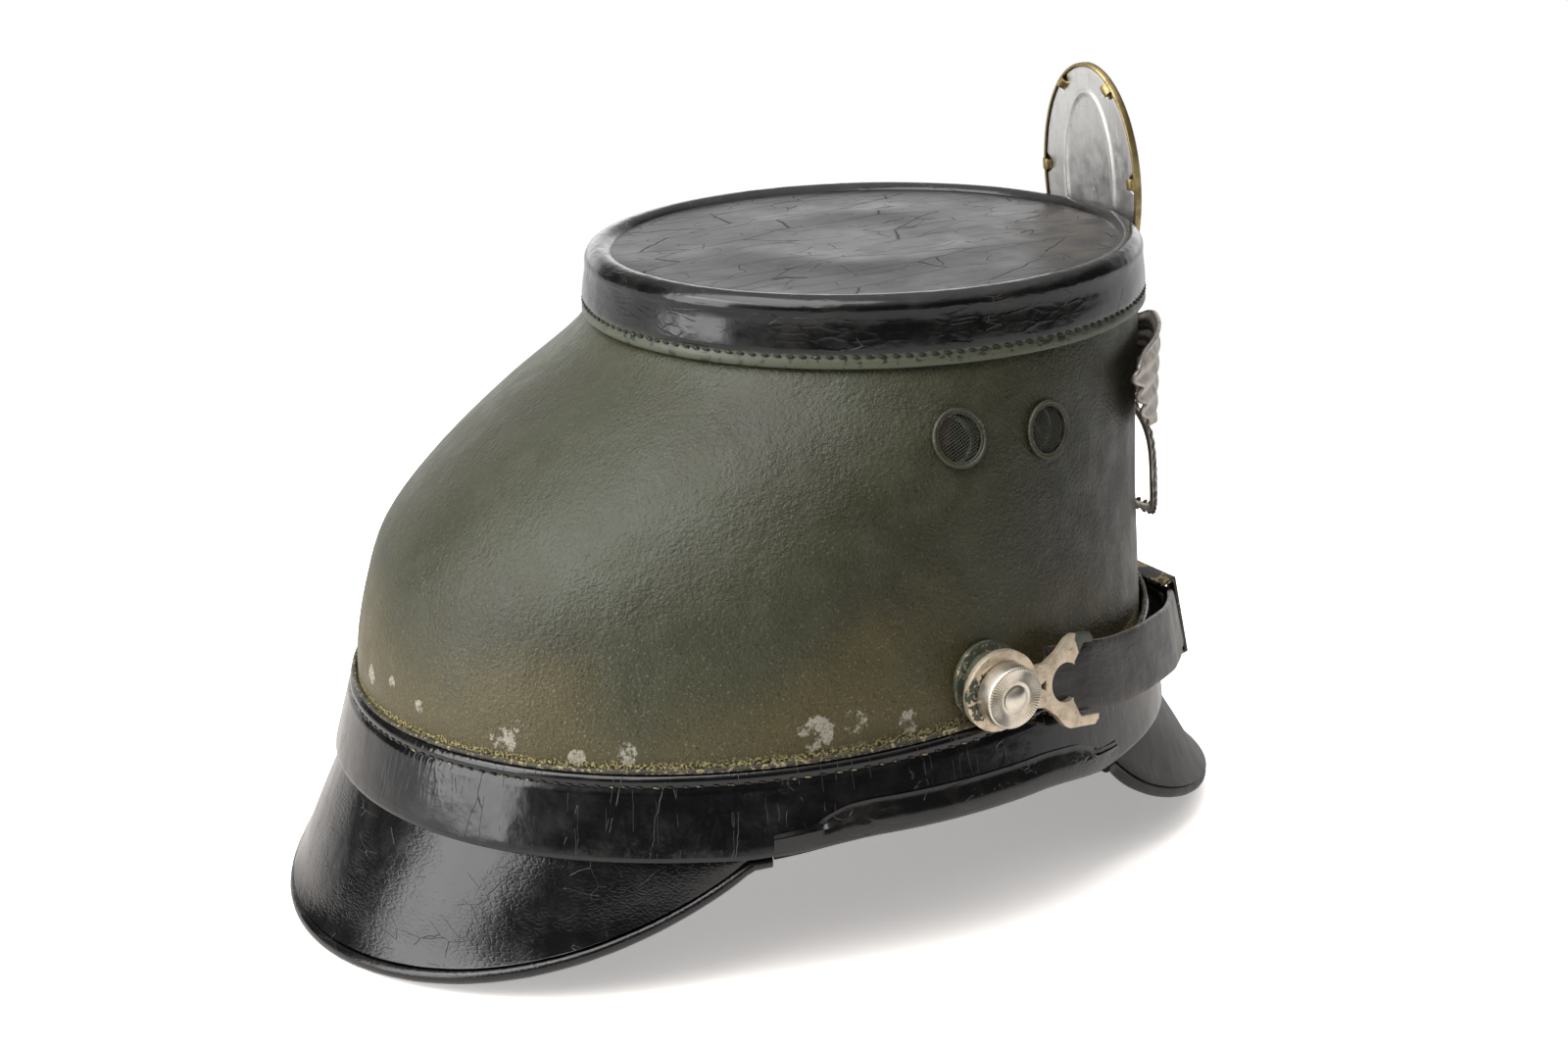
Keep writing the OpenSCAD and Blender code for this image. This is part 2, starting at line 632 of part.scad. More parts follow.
module plate_nuts() {
    color(brass_color) at_opening() for (p = stud_places) front_place(p)
        translate([0, 0, -shell_wall - 2.2]) difference() {
            cylinder(d = 7, h = 1.8, $fn = 6);
            translate([0, 0, -1]) cylinder(d = stud_d + 0.02, h = 4, $fn = 24);
        }
}

// Lining
sweat_in = shell_wall + 4;
sweat_low = shell_low + 1;

module sweatband() {
    o = sweat_in;
    color(lining_color) at_opening() ring_loft([
        oval(0, base_a - o, base_b - o, sweat_low),
        oval(0, base_a - o, base_b - o, straight_to + 4),
        shell_inside(o, sweat_low + sweat_h),
        shell_inside(o + sweat_t, sweat_low + sweat_h),
        oval(0, base_a - o - sweat_t, base_b - o - sweat_t, straight_to + 4),
        oval(0, base_a - o - sweat_t, base_b - o - sweat_t, sweat_low)]);
}

function shell_inside(inset, z) =
    oval(shell_mid(z + 2), shell_reach(z + 2) - inset, shell_half(z + 2) - inset, z);

module felt_strip() {
    o = sweat_in - felt_t - 0.2;
    color([0.2, 0.2, 0.18]) at_opening() ring_loft([
        oval(0, base_a - o, base_b - o, shell_low + 2),
        oval(0, base_a - o, base_b - o, straight_to + 1),
        oval(0, base_a - o - felt_t, base_b - o - felt_t, straight_to + 1),
        oval(0, base_a - o - felt_t, base_b - o - felt_t, shell_low + 2)]);
}

module liner_tongues() {
    z0 = sweat_low + sweat_h + 0.3;
    steps = 7;
    color(lining_color) at_opening() for (i = [0:tongues - 1]) let(mid = 360*(i + 0.5)/tongues)
        row_loft([for (j = [0:steps]) let(q = j/steps, z = mix(z0, tongue_top, q),
                half = mix(0.44, 0.3, q)*360/tongues, in = sweat_in + 24*q*q)
            concat(
                [for (f = [-1:0.5:1]) tongue_point(mid + f*half, z, in)],
                [for (f = [1:-0.5:-1]) tongue_point(mid + f*half, z, in + sweat_t)])]);
}

function tongue_point(t, z, in) =
    [shell_mid(z + 4) + (shell_reach(z + 4) - in)*cos(t), (shell_half(z + 4) - in)*sin(t), z];

// Chinstrap, drawn on the wearer's left. The lugs bend in at their necks and lean in with the shell.
strap_front = base_a + strap_off;
lug_mid = lug_in + lug_t/2;
neck = 9;
fork_turn = 8;
fork_lean = 9;
fork_end = 31;
arm_w = 2.4;
notch_x = 19.6;
notch_d = 9.4;
fork_half = strap_w/2 + 0.3;
strap_in = lug_t/2 + gap + strap_t/2;
strap_end = 16;
loop_t = 0.8;
loop_w = 3.6;
loop_leg = 1.4;
loop_x = fork_end - 6.6;
loop_in = lug_t/2 + strap_t + 2*gap + loop_t;
pin_d = 2;

// Point of the strap's middle line behind the fork, at a distance along the lug
function fork_point(u) = let(r = u - neck) [
    post_x + neck + r*cos(fork_turn) - strap_in*sin(fork_turn),
    lug_mid - r*sin(fork_turn) - strap_in*cos(fork_turn),
    post_z - u*sin(lug_slope), fork_lean];
side_line = [fork_point(strap_end), fork_point(24), fork_point(fork_end),
    [base_a - 53, base_b - 4.8, 59.6, 10], [base_a - 41, base_b - 10.2, 57.9, 10],
    [base_a - 30, base_b - 17.2, 56, 10], [base_a - 19, base_b - 25.4, 53.6, 10.5],
    [strap_front - 21, base_b - 34, 50.9, 11], [strap_front - 12.5, strap_run + 14.5, 48.1, 12],
    [strap_front - 4.6, strap_run + 5.3, strap_z + 1.7, strap_lean]];

function knot_step(list, i) = i == 0 ? list[1] - list[0]
    : i == len(list) - 1 ? list[i] - list[i - 1] : (list[i + 1] - list[i - 1])/2;
function line_points(list, n) = concat(
    [for (i = [0:len(list) - 2]) for (k = [0:n - 1]) let(a = knot_step(list, i), b = knot_step(list, i + 1))
        [for (c = [0:3]) hermite(list[i][c], list[i + 1][c], a[c], b[c], k/n)]],
    [list[len(list) - 1]]);

// Flat band along a line of points that runs round clockwise, each with the lean of its section
module band_path(path, w, t) {
    n = len(path);
    e = min(0.5, t/3);
    row_loft([for (i = [0:n - 1])
        let(d = path[min(n - 1, i + 1)] - path[max(0, i - 1)], l = norm([d[0], d[1]]), a = path[i][3],
            in = [-d[1]/l, d[0]/l, 0], u = in*cos(a) - [0, 0, sin(a)], v = [0, 0, cos(a)] + in*sin(a))
        [for (q = [[t/2, w/2 - e], [t/2 - e, w/2], [e - t/2, w/2], [-t/2, w/2 - e],
                   [-t/2, e - w/2], [e - t/2, -w/2], [t/2 - e, -w/2], [t/2, e - w/2]])
            [path[i][0], path[i][1], path[i][2]] + q[0]*u + q[1]*v]]);
}

layer_step = strap_t + gap;

// One half of the strap: its front run lies in an outer or an inner layer and ends past the other side's slider
module strap_half(layer) {
    in = layer*layer_step;
    x = strap_front - in*cos(strap_lean);
    z = strap_z - in*sin(strap_lean);
    path = concat(line_points(side_line, 3), [for (y = [strap_run, 0, 0.6 - strap_run]) [x, y, z, strap_lean]]);
    color(leather_color) difference() {
        at_opening() band_path(reverse(path), strap_w, strap_t);
        fork_frame() pin_place() cylinder(d = pin_d + 2*gap, h = loop_in, $fn = 24);
    }
}

module strap_right() { on_side(-1) strap_half(0); }

module strap_left() { strap_half(1); }

module lug_frame() {
    at_opening() translate([post_x, 0, post_z]) rotate([-90, 0, 0]) rotate([0, 0, lug_slope]) children();
}

module fork_frame() {
    lug_frame() translate([neck, 0, lug_mid]) rotate([0, fork_turn, 0]) rotate([fork_lean, 0, 0])
        translate([-neck, 0, 0]) children();
}

// Lug outline in the plane of the sheet: ring, neck and fork
module lug_outline() {
    arm = [[4, 7], [8.8, 4.9], [12.6, 5.1], [16.5, 7.4], [19.6, fork_half + 1.6], [21.4, fork_half + arm_w]];
    tip = [[-1.2, arm_w], [0, arm_w - 1.2], [0, 0]];
    upper = [for (p = tip) [fork_end - 3 + p[0], -fork_half - p[1]]];
    lower = [for (p = tip) [fork_end + p[0], fork_half + p[1]]];
    inner = [[25, fork_half], [22.2, 4.6]];
    flip = function(list) [for (i = [len(list) - 1:-1:0]) [list[i][0], -list[i][1]]];
    difference() {
        union() {
            circle(d = lug_d, $fn = 64);
            polygon(concat(arm, lower, inner, flip(inner), reverse(upper), flip(arm)));
        }
        circle(d = barrel_d + 2*lug_fit, $fn = 64);
        translate([notch_x, 0]) circle(d = notch_d, $fn = 48);
        polygon([[10.6, 0], [13, 1.3], [13, -1.3]]);
    }
}

module lug() {
    color(metal_color) {
        lug_frame() translate([0, 0, lug_in]) linear_extrude(height = lug_t) intersection() {
            lug_outline();
            translate([-20, -20]) square([20 + neck + 0.8, 40]);
        }
        fork_frame() {
            translate([0, 0, -lug_t/2]) linear_extrude(height = lug_t) intersection() {
                lug_outline();
                translate([neck - 0.8, -20]) square([40, 40]);
            }
            for (s = [-1, 1]) translate([loop_x, s*(fork_half + loop_leg/2) - loop_leg/2, -loop_in])
                cube([loop_w, loop_leg, loop_in]);
            difference() {
                translate([loop_x, -fork_half - 1, -loop_in]) cube([loop_w, 2*fork_half + 2, loop_t]);
                pin_place() cylinder(d = pin_d + gap, h = 2*loop_t, $fn = 24);
            }
        }
    }
}

module lug_right() { on_side(-1) lug(); }

module lug_left() { lug(); }

// Rivets from behind, through each lug's loop and into the strap
module pin_place() {
    translate([loop_x + loop_w/2, 0, -loop_in - loop_t/2]) children();
}

module strap_pins() {
    color(brass_color) both_sides() fork_frame() pin_place() {
        translate([0, 0, -0.2]) cylinder(d = 2*pin_d, h = 0.6, $fn = 32);
        cylinder(d = pin_d, h = loop_t/2 + loop_t + gap + strap_t - 0.4, $fn = 32);
    }
}

// Sliders: a window in front of the strap and a bar behind its two layers, joined over its edges
slider_h = strap_w + 2*gap + 0.5;
window_x = strap_t/2 + gap;
bar_x = -layer_step - strap_t/2 - gap;
bar_t = 0.9;
bar_w = 6;
rail = 1.6;

module slider() {
    h = slider_h + 2*slider_t;
    color(brass_color) at_opening() translate([strap_front, slider_y, strap_z]) rotate([0, -strap_lean, 0]) {
        difference() {
            translate([window_x, -slider_w/2, -h/2]) cube([slider_t, slider_w, h]);
            translate([window_x - 1, rail - slider_w/2, 1 - slider_h/2])
                cube([slider_t + 2, slider_w - 2*rail, slider_h - 2]);
        }
        for (s = [-1, 1]) translate([bar_x - bar_t, -bar_w/2, s*(slider_h + slider_t)/2 - slider_t/2])
            cube([window_x - bar_x + bar_t, bar_w, slider_t]);
        translate([bar_x - bar_t, -bar_w/2, -slider_h/2]) cube([bar_t, bar_w, slider_h]);
    }
}

module slider_right() { on_side(-1) slider(); }

module slider_left() { slider(); }

// Cockade: local frame with Z forward through its thickness and X down along it
lean_z = disc_z + 2;
foot_z = crown_low - 2.2;
foot_h = 4;
foot_out = 1.3;
lean_x = max(crown_fwd + crown_a - lean_a + 0.6, spike_x + foot_out - (lean_z - foot_z)*tan(cockade_lean));
cockade_top = cockade_low + cockade_h;
mid_down = lean_z - (cockade_low + cockade_top)/2;
arch_w = 10.3;
arch_h = 23.6;

function oval_outline(a, b, n = 60) = [for (i = [0:n - 1]) [-b*sin(360*i/n), a*cos(360*i/n)]];

module oval_shape(inset) {
    translate([mid_down, 0]) polygon(oval_outline(cockade_w/2 - inset, cockade_h/2 - inset));
}

module cockade_place() {
    at_opening() translate([lean_x, 0, lean_z]) rotate([0, 90 - cockade_lean, 0]) children();
}

module cockade_back() {
    color(metal_color) cockade_place() difference() {
        union() {
            linear_extrude(height = cockade_back_t) oval_shape(0.9);
            translate([mid_down, 0, -0.35]) linear_extrude(height = 0.5)
                polygon(oval_outline(arch_w, arch_h, 48));
        }
        translate([mid_down, 0, -0.5]) linear_extrude(height = 0.5)
            polygon(oval_outline(arch_w - 1, arch_h - 1, 48));
    }
}

module cockade_prongs() {
    a = cockade_w/2 - 2.2;
    b = cockade_h/2 - 2.2;
    color(brass_color) cockade_place() for (t = [58, 3, -52]) for (s = [-1, 1])
        translate([mid_down - b*sin(t), s*a*cos(t), -0.6]) rotate([0, 0, atan2(s*b*cos(t), -a*sin(t))])
            translate([-2.2, -1.5, 0]) cube([3.2, 3, 0.5]);
}

module cockade_front() {
    color(metal_color) cockade_place() difference() {
        union() {
            translate([0, 0, -0.4]) linear_extrude(height = cockade_back_t + 1.4) oval_shape(0);
            linear_extrude(height = cockade_back_t + cockade_dish - 1.4) oval_shape(2.4);
            linear_extrude(height = cockade_back_t + cockade_dish) oval_shape(5.4);
        }
        translate([0, 0, -1]) linear_extrude(height = 1.05 + cockade_back_t) oval_shape(0.8);
        translate([0, 0, -1]) linear_extrude(height = cockade_back_t + cockade_dish - 0.2) oval_shape(6.6);
    }
}

module cockade_boss() {
    color(brass_color) cockade_place() translate([0, 0, cockade_back_t + cockade_dish + 0.05]) {
        linear_extrude(height = 0.8) oval_shape(9.5);
        linear_extrude(height = 1.5) oval_shape(13);
    }
}

// The spike hangs straight down in front of the skirt, from the back plate into the pocket
foot_x = lean_x + (lean_z - foot_z)*tan(cockade_lean) - 0.05;

module cockade_spike() {
    color(metal_color) at_opening() {
        translate([spike_x, -spike_w/2, spike_low]) cube([spike_t, spike_w, foot_z - spike_low]);
        translate([spike_x, -spike_w/2, foot_z - foot_h]) cube([foot_x - spike_x, spike_w, foot_h]);
    }
}

module cockade_pocket() {
    side = 1.5;
    back = shell_front_x(spike_w/2 + spike_fit, pocket_low) + seat;
    color(leather_color) at_opening() difference() {
        translate([back, -spike_w/2 - spike_fit - side, pocket_low])
            cube([spike_x + spike_t + spike_fit + pocket_wall - back,
                spike_w + 2*(spike_fit + side), pocket_h]);
        translate([back - 1, -spike_w/2 - spike_fit, pocket_low - 1])
            cube([spike_x + spike_t + spike_fit - back + 1, spike_w + 2*spike_fit, pocket_h + 2]);
    }
}

shell();
crown_cap();
crown_disc();
base_band();
band_piping();
side_binding_right();
side_binding_left();
rear_visor();
rear_visor_edge();
front_visor();
front_visor_edge();
vent_grommets();
vent_meshes();
vent_rings();
post_washers();
post_collars();
post_right();
post_left();
knob_domes();
post_nuts();
front_plate();
plate_wreath();
plate_boss();
plate_studs();
plate_nuts();
cockade_pocket();
sweatband();
felt_strip();
liner_tongues();
strap_right();
strap_left();
strap_pins();
lug_right();
lug_left();
slider_right();
slider_left();
cockade_back();
cockade_prongs();
cockade_front();
cockade_boss();
cockade_spike();
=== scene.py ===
import math

import bmesh
import bpy
from mathutils import Matrix, Vector, noise


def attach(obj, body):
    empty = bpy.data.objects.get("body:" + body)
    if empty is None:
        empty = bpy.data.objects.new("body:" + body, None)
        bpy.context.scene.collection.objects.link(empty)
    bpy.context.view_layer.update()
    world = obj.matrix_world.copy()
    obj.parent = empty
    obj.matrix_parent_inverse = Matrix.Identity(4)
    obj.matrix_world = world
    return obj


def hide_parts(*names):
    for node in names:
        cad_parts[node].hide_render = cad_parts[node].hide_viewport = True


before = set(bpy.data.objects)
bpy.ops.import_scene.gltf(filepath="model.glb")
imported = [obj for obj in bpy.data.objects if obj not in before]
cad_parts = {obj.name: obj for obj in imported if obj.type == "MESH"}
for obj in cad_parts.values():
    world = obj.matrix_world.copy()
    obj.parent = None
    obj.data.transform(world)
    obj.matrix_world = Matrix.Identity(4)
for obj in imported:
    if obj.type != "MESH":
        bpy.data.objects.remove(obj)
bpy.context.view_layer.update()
mm = 0.001
millimetres = Matrix.Diagonal((mm, mm, mm, 1))
print("frame loaded:", len(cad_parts), "nodes")

# Form of the hat in millimetres, the same sizes as the solids: base A and B are half the head opening
hat = {
    "baseA": 103.0, "baseB": 86.0, "baseBack": 3.0,
    "shellLow": 41.0, "shellWall": 2.4, "straightTo": 50.0,
    "crownA": 71.3, "crownB": 67.6, "crownForward": 31.3,
    "crownLow": 136.4, "skirtHigh": 12.4, "crownIn": 1.85, "leanA": 0.7, "leanB": 1.9, "crownTilt": 1.1,
    "leather": 2.0, "bandTop": 56.5, "bandTilt": 2.2, "bandLow": 39.0, "bandFlare": 3.8, "fit": 0.15,
    "rearKnots": [(0, 0), (0.14, 0.004), (0.3, 0.045), (0.46, 0.122), (0.62, 0.318), (0.78, 0.595),
                  (0.92, 0.893), (1, 1)],
}
discZ = hat["crownLow"] + hat["skirtHigh"]
crownSlope = math.tan(math.radians(hat["crownTilt"]))
bandSlope = math.tan(math.radians(hat["bandTilt"]))


def clamp01(t):
    return min(1.0, max(0.0, t))


def smooth(t):
    t = clamp01(t)
    return t * t * (3 - 2 * t)


def mix(a, b, t):
    return a + (b - a) * t


def hermite(p, q, m, n, t):
    t2 = t * t
    t3 = t2 * t
    return (2 * t3 - 3 * t2 + 1) * p + (t3 - 2 * t2 + t) * m + (3 * t2 - 2 * t3) * q + (t3 - t2) * n


def curveAt(knots, s):
    i = 0
    while i < len(knots) - 2 and s > knots[i + 1][0]:
        i += 1
    slopes = []
    for k in (i, i + 1):
        lo, hi = max(0, k - 1), min(len(knots) - 1, k + 1)
        slopes.append((knots[hi][1] - knots[lo][1]) / (knots[hi][0] - knots[lo][0]))
    w = knots[i + 1][0] - knots[i][0]
    return hermite(knots[i][1], knots[i + 1][1], w * slopes[0], w * slopes[1], clamp01((s - knots[i][0]) / w))


def shellSection(z):
    s = clamp01((z - hat["straightTo"]) / (hat["crownLow"] - hat["straightTo"]))
    front = mix(hat["baseA"], hat["crownForward"] + hat["crownA"] - hat["crownIn"], s)
    rear = mix(-hat["baseA"], hat["crownForward"] - hat["crownA"] + hat["crownIn"],
               curveAt(hat["rearKnots"], s))
    half = hat["baseB"] - (hat["baseB"] - hat["crownB"] + hat["crownIn"]) * s ** 1.25
    return (front + rear) / 2, (front - rear) / 2, half, crownSlope * s ** 3


def shellPoint(angle, z, out=0.0):
    mid, reach, half, tilt = shellSection(z)
    c, s = math.cos(angle), math.sin(angle)
    return Vector((mid + (reach + out) * c - hat["baseBack"], (half + out) * s, z + tilt * (reach + out) * c))


def shellSideY(x, z):
    mid, reach, half, tilt = shellSection(z)
    return half * math.sqrt(max(0, 1 - ((x - mid) / reach) ** 2))


def crownPoint(angle, off, z):
    q = clamp01((z - hat["crownLow"]) / hat["skirtHigh"])
    a = hat["crownA"] - q * hat["leanA"] - off
    b = hat["crownB"] - q * hat["leanB"] - off
    c, s = math.cos(angle), math.sin(angle)
    return Vector((hat["crownForward"] + a * c - hat["baseBack"], b * s, z + crownSlope * a * c))


def basePoint(angle, off, z):
    return Vector(((hat["baseA"] + off) * math.cos(angle) - hat["baseBack"],
                   (hat["baseB"] + off) * math.sin(angle), z))


def bandEdge(angle):
    c = abs(math.cos(angle))
    return hat["bandLow"] - 3.6 * smooth((c - 0.2) / 0.3) - 1.4 * smooth((c - 0.5) / 0.5)


def bandRim(angle):
    return hat["bandTop"] + bandSlope * hat["baseA"] * math.cos(angle)


def bandOff(angle, z):
    rim, edge = bandRim(angle), bandEdge(angle)
    return mix(hat["fit"], hat["bandFlare"], clamp01((rim - z) / (rim - edge)))


def bandOuter(angle, z):
    # outside of the head band at a height
    low = bandEdge(angle)
    high = bandRim(angle) - 2
    return mix(hat["bandFlare"] + hat["leather"] + 0.75, hat["fit"] + hat["leather"] - 0.1,
               clamp01((z - low) / (high - low)))


def wander(x, y, z=0.0, seed=0.0):
    return noise.noise(Vector((x + seed, y - seed, z + 0.37 * seed)))


# Mesh makers: an operator makes the faces, and a place function shapes them
def ringMesh(rows, steps, place, closed=True):
    bm = bmesh.new()
    line = [bm.verts.new((1 + 0.01 * i, 0, 0)) for i in range(rows)]
    joins = [bm.edges.new((line[i], line[i + 1])) for i in range(rows - 1)]
    if closed:
        joins.append(bm.edges.new((line[-1], line[0])))
    bmesh.ops.spin(bm, geom=line + joins, axis=(0, 0, 1), cent=(0, 0, 0), angle=2 * math.pi, steps=steps,
                   use_merge=True)
    tags = {}
    for v in bm.verts:
        tags[v] = (round((math.hypot(v.co.x, v.co.y) - 1) / 0.01),
                   round(math.atan2(v.co.y, v.co.x) / (2 * math.pi) * steps) % steps)
    return settle(bm, tags, lambda i, k: place(i, 2 * math.pi * k / steps), rows if closed else 0, steps)


def settle(bm, tags, place, rowWrap, colWrap):
    points = {tag: place(*tag) for tag in set(tags.values())}
    rowCount = max(t[0] for t in points) + 1
    colCount = max(t[1] for t in points) + 1

    def measured(count, tag):
        # lengths along a middle row or column, for the UV map
        run = [0.0]
        for n in range(count):
            run.append(run[-1] + (points[tag(n)] - points[tag((n + 1) % count)]).length)
        return run
    across = measured(rowCount, lambda n: (n, colCount // 3))
    along = measured(colCount, lambda n: (rowCount // 3, n))
    layer = bm.loops.layers.uv.new("UVMap")
    for face in bm.faces:
        rows = [tags[loop.vert][0] for loop in face.loops]
        cols = [tags[loop.vert][1] for loop in face.loops]
        for loop, i, k in zip(face.loops, rows, cols):
            if rowWrap and max(rows) - min(rows) > rowWrap / 2 and i < rowWrap / 2:
                i = rowCount
            if colWrap and max(cols) - min(cols) > colWrap / 2 and k < colWrap / 2:
                k = colCount
            loop[layer].uv = (along[k] * mm, across[i] * mm)
    for v in bm.verts:
        v.co = points[tags[v]] * mm
    return bm


def sheetMesh(rows, cols, place):
    # an open sheet, its place function takes both sides of it from 0 to 1
    bm = bmesh.new()
    bmesh.ops.create_grid(bm, x_segments=cols, y_segments=rows, size=1)
    tags = {v: (round((v.co.y + 1) / 2 * rows), round((v.co.x + 1) / 2 * cols)) for v in bm.verts}
    return settle(bm, tags, lambda i, k: place(i / rows, k / cols), 0, 0)


def extruded(bm, edges, way):
    # a strip of faces drawn out from edges; returns the edges on its far side
    out = bmesh.ops.extrude_edge_only(bm, edges=edges)["geom"]
    bmesh.ops.translate(bm, vec=way, verts=[v for v in out if isinstance(v, bmesh.types.BMVert)])
    return [e for e in out if isinstance(e, bmesh.types.BMEdge)]


def loftMesh(rows, sides, place):
    # a closed solid through rows of one section, with an end face at both ends
    bm = bmesh.new()
    bmesh.ops.create_circle(bm, cap_ends=False, segments=sides, radius=1)
    rim = list(bm.edges)
    for i in range(rows - 1):
        rim = extruded(bm, rim, (0, 0, 1))
    tags = {v: (round(v.co.z), round(math.atan2(-v.co.x, v.co.y) / (2 * math.pi) * sides) % sides)
            for v in bm.verts}
    settle(bm, tags, place, 0, sides)
    bmesh.ops.holes_fill(bm, edges=[e for e in bm.edges if e.is_boundary], sides=0)
    return bm


def mergedCopy(node):
    # a CAD node's mesh as a bmesh of flat faces
    bm = bmesh.new()
    bm.from_mesh(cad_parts[node].data)
    bmesh.ops.remove_doubles(bm, verts=bm.verts, dist=2e-6)
    bmesh.ops.dissolve_limit(bm, angle_limit=math.radians(1.5), verts=bm.verts, edges=bm.edges)
    return bm


def softenEdges(bm, width, segments=2, angle=28):
    sharp = [e for e in bm.edges if len(e.link_faces) == 2 and e.calc_face_angle(0) > math.radians(angle)]
    bmesh.ops.bevel(bm, geom=sharp, offset=width * mm, offset_type="OFFSET", affect="EDGES",
                    segments=segments, profile=0.5, material=-1, clamp_overlap=True)


def asObject(name, bm):
    mesh = bpy.data.meshes.new(name)
    bm.to_mesh(mesh)
    bm.free()
    made = bpy.data.objects.new(name, mesh)
    bpy.context.scene.collection.objects.link(made)
    return made


def makePiece(name, bm, body, look, nodes=(), sharp=40, normals=True):
    if normals:
        bmesh.ops.recalc_face_normals(bm, faces=bm.faces)
    piece = asObject(name, bm)
    for face in piece.data.polygons:
        face.use_smooth = True
    piece.data.set_sharp_from_angle(angle=math.radians(sharp))
    piece.data.materials.append(finish[look])
    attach(piece, body)
    if nodes:
        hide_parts(*nodes)
    return piece


def joinMeshes(parts):
    # several bmeshes as one
    whole = bmesh.new()
    whole.loops.layers.uv.new("UVMap")
    for part in parts:
        mesh = bpy.data.meshes.new("part")
        part.to_mesh(mesh)
        part.free()
        whole.from_mesh(mesh)
        bpy.data.meshes.remove(mesh)
    return whole


def mirrored(bm):
    # the same shape on the hat's other side
    other = bm.copy()
    bmesh.ops.scale(other, vec=(1, -1, 1), verts=other.verts)
    bmesh.ops.reverse_faces(other, faces=other.faces)
    return other


def moved(bm, place):
    bmesh.ops.transform(bm, matrix=place, verts=bm.verts)
    return bm


# Materials
def linear(text):
    values = [int(text[i:i + 2], 16) / 255 for i in (1, 3, 5)]
    return tuple(v / 12.92 if v <= 0.04045 else ((v + 0.055) / 1.055) ** 2.4 for v in values) + (1.0,)


def put(kind, sockets=None, tree=None, **settings):
    # a new node, in the tree of the sockets that feed it where none is given
    sockets = sockets or {}
    fed = {key: value for key, value in sockets.items() if isinstance(value, bpy.types.NodeSocket)}
    if tree is None:
        tree = next(iter(fed.values())).id_data
    made = tree.nodes.new("ShaderNode" + kind)
    for key, value in settings.items():
        setattr(made, key, value)
    for key, value in sockets.items():
        if key in fed:
            tree.links.new(value, made.inputs[key])
        else:
            made.inputs[key].default_value = value
    return made


def blotch(where, size, detail=3.0, rough=0.55):
    # noise whose features are about so many millimetres across
    return put("TexNoise", {"Vector": where, "Scale": 1000 / size, "Detail": detail,
                            "Roughness": rough}).outputs["Fac"]


def streaks(where, stretch, scale, detail=4.0, turn=0.0):
    # noise drawn out into streaks
    mapped = put("Mapping", {"Vector": where, "Rotation": (0, 0, turn), "Scale": stretch}).outputs[0]
    return put("TexNoise", {"Vector": mapped, "Scale": scale, "Detail": detail}).outputs["Fac"]


def between(value, low, high, toLow=0.0, toHigh=1.0):
    return put("MapRange", {"Value": value, "From Min": low, "From Max": high, "To Min": toLow,
                            "To Max": toHigh}, interpolation_type="SMOOTHSTEP").outputs[0]


def sums(what, a, b, clamp=False):
    return put("Math", {0: a, 1: b}, operation=what, use_clamp=clamp).outputs[0]


def times(*values):
    made = values[0]
    for value in values[1:]:
        made = sums("MULTIPLY", made, value)
    return made


def inverse(value):
    return sums("SUBTRACT", 1.0, value)


def tint(amount, a, b):
    a, b = (linear(color) if isinstance(color, str) else color for color in (a, b))
    return put("Mix", {0: amount, 6: a, 7: b}, data_type="RGBA").outputs[2]


def stained(base, color, field, low, high, amount=1.0):
    # a colour over the base where a field rises from low to high
    return tint(times(between(field, low, high), amount), base, color)


def raised(height, deep, under=None):
    # bump of so many millimetres
    sockets = {"Height": height, "Distance": deep * mm, "Strength": 1.0}
    if under is not None:
        sockets["Normal"] = under
    return put("Bump", sockets).outputs[0]


def grained(where, noises):
    # bumps laid over one another, each with its size, depth, detail and roughness
    grain = None
    for size, deep, detail, rough in noises:
        grain = raised(blotch(where, size, detail, rough), deep, grain)
    return grain


def pushed(where, size, amount):
    # the same place, moved about by so many millimetres
    field = put("TexNoise", {"Vector": where, "Scale": 1000 / size, "Detail": 2.0}).outputs["Color"]
    centred = put("VectorMath", {0: field, 1: (0.5, 0.5, 0.5)}, operation="SUBTRACT").outputs[0]
    push = put("VectorMath", {0: centred, "Scale": 2 * amount * mm}, operation="SCALE").outputs[0]
    return put("VectorMath", {0: where, 1: push}, operation="ADD").outputs[0]


def cellWalls(where, size, stretch=(1, 1, 1), turn=0.0, wobble=0.25, seed=0.0):
    # distance from the walls of a cell pattern, which is what cracks and creases follow
    stirred = pushed(where, size * 0.7, size * wobble)
    mapped = put("Mapping", {"Vector": stirred, "Location": (seed, seed, seed), "Scale": stretch,
                             "Rotation": (0, 0, math.radians(turn))}).outputs[0]
    return put("TexVoronoi", {"Vector": mapped, "Scale": 1000 / size},
               feature="DISTANCE_TO_EDGE").outputs["Distance"]


def cracks(where, size, wide, broken, **pattern):
    # fine broken lines, 1 on a line; broken is how much of the pattern is left out
    line = between(cellWalls(where, size, **pattern), 0.0, wide / size, 1.0, 0.0)
    return times(line, between(blotch(where, size * 1.1, 2), broken, broken + 0.05))


def newMaterial(name, roughness=0.5, metallic=0.0):
    # a material, its shader, and the place on the hat that its textures follow
    made = bpy.data.materials.new(name)
    made.use_nodes = True
    shader = made.node_tree.nodes["Principled BSDF"]
    shader.inputs["Roughness"].default_value = roughness
    shader.inputs["Metallic"].default_value = metallic
    return made, shader, put("TexCoord", tree=made.node_tree).outputs["Object"]


def ownMap(where):
    # the piece's own UV map in place of the hat's
    return where.node.outputs["UV"]


def wire(shader, **sockets):
    for key, value in sockets.items():
        shader.id_data.links.new(value, shader.inputs[key.replace("_", " ").title()])


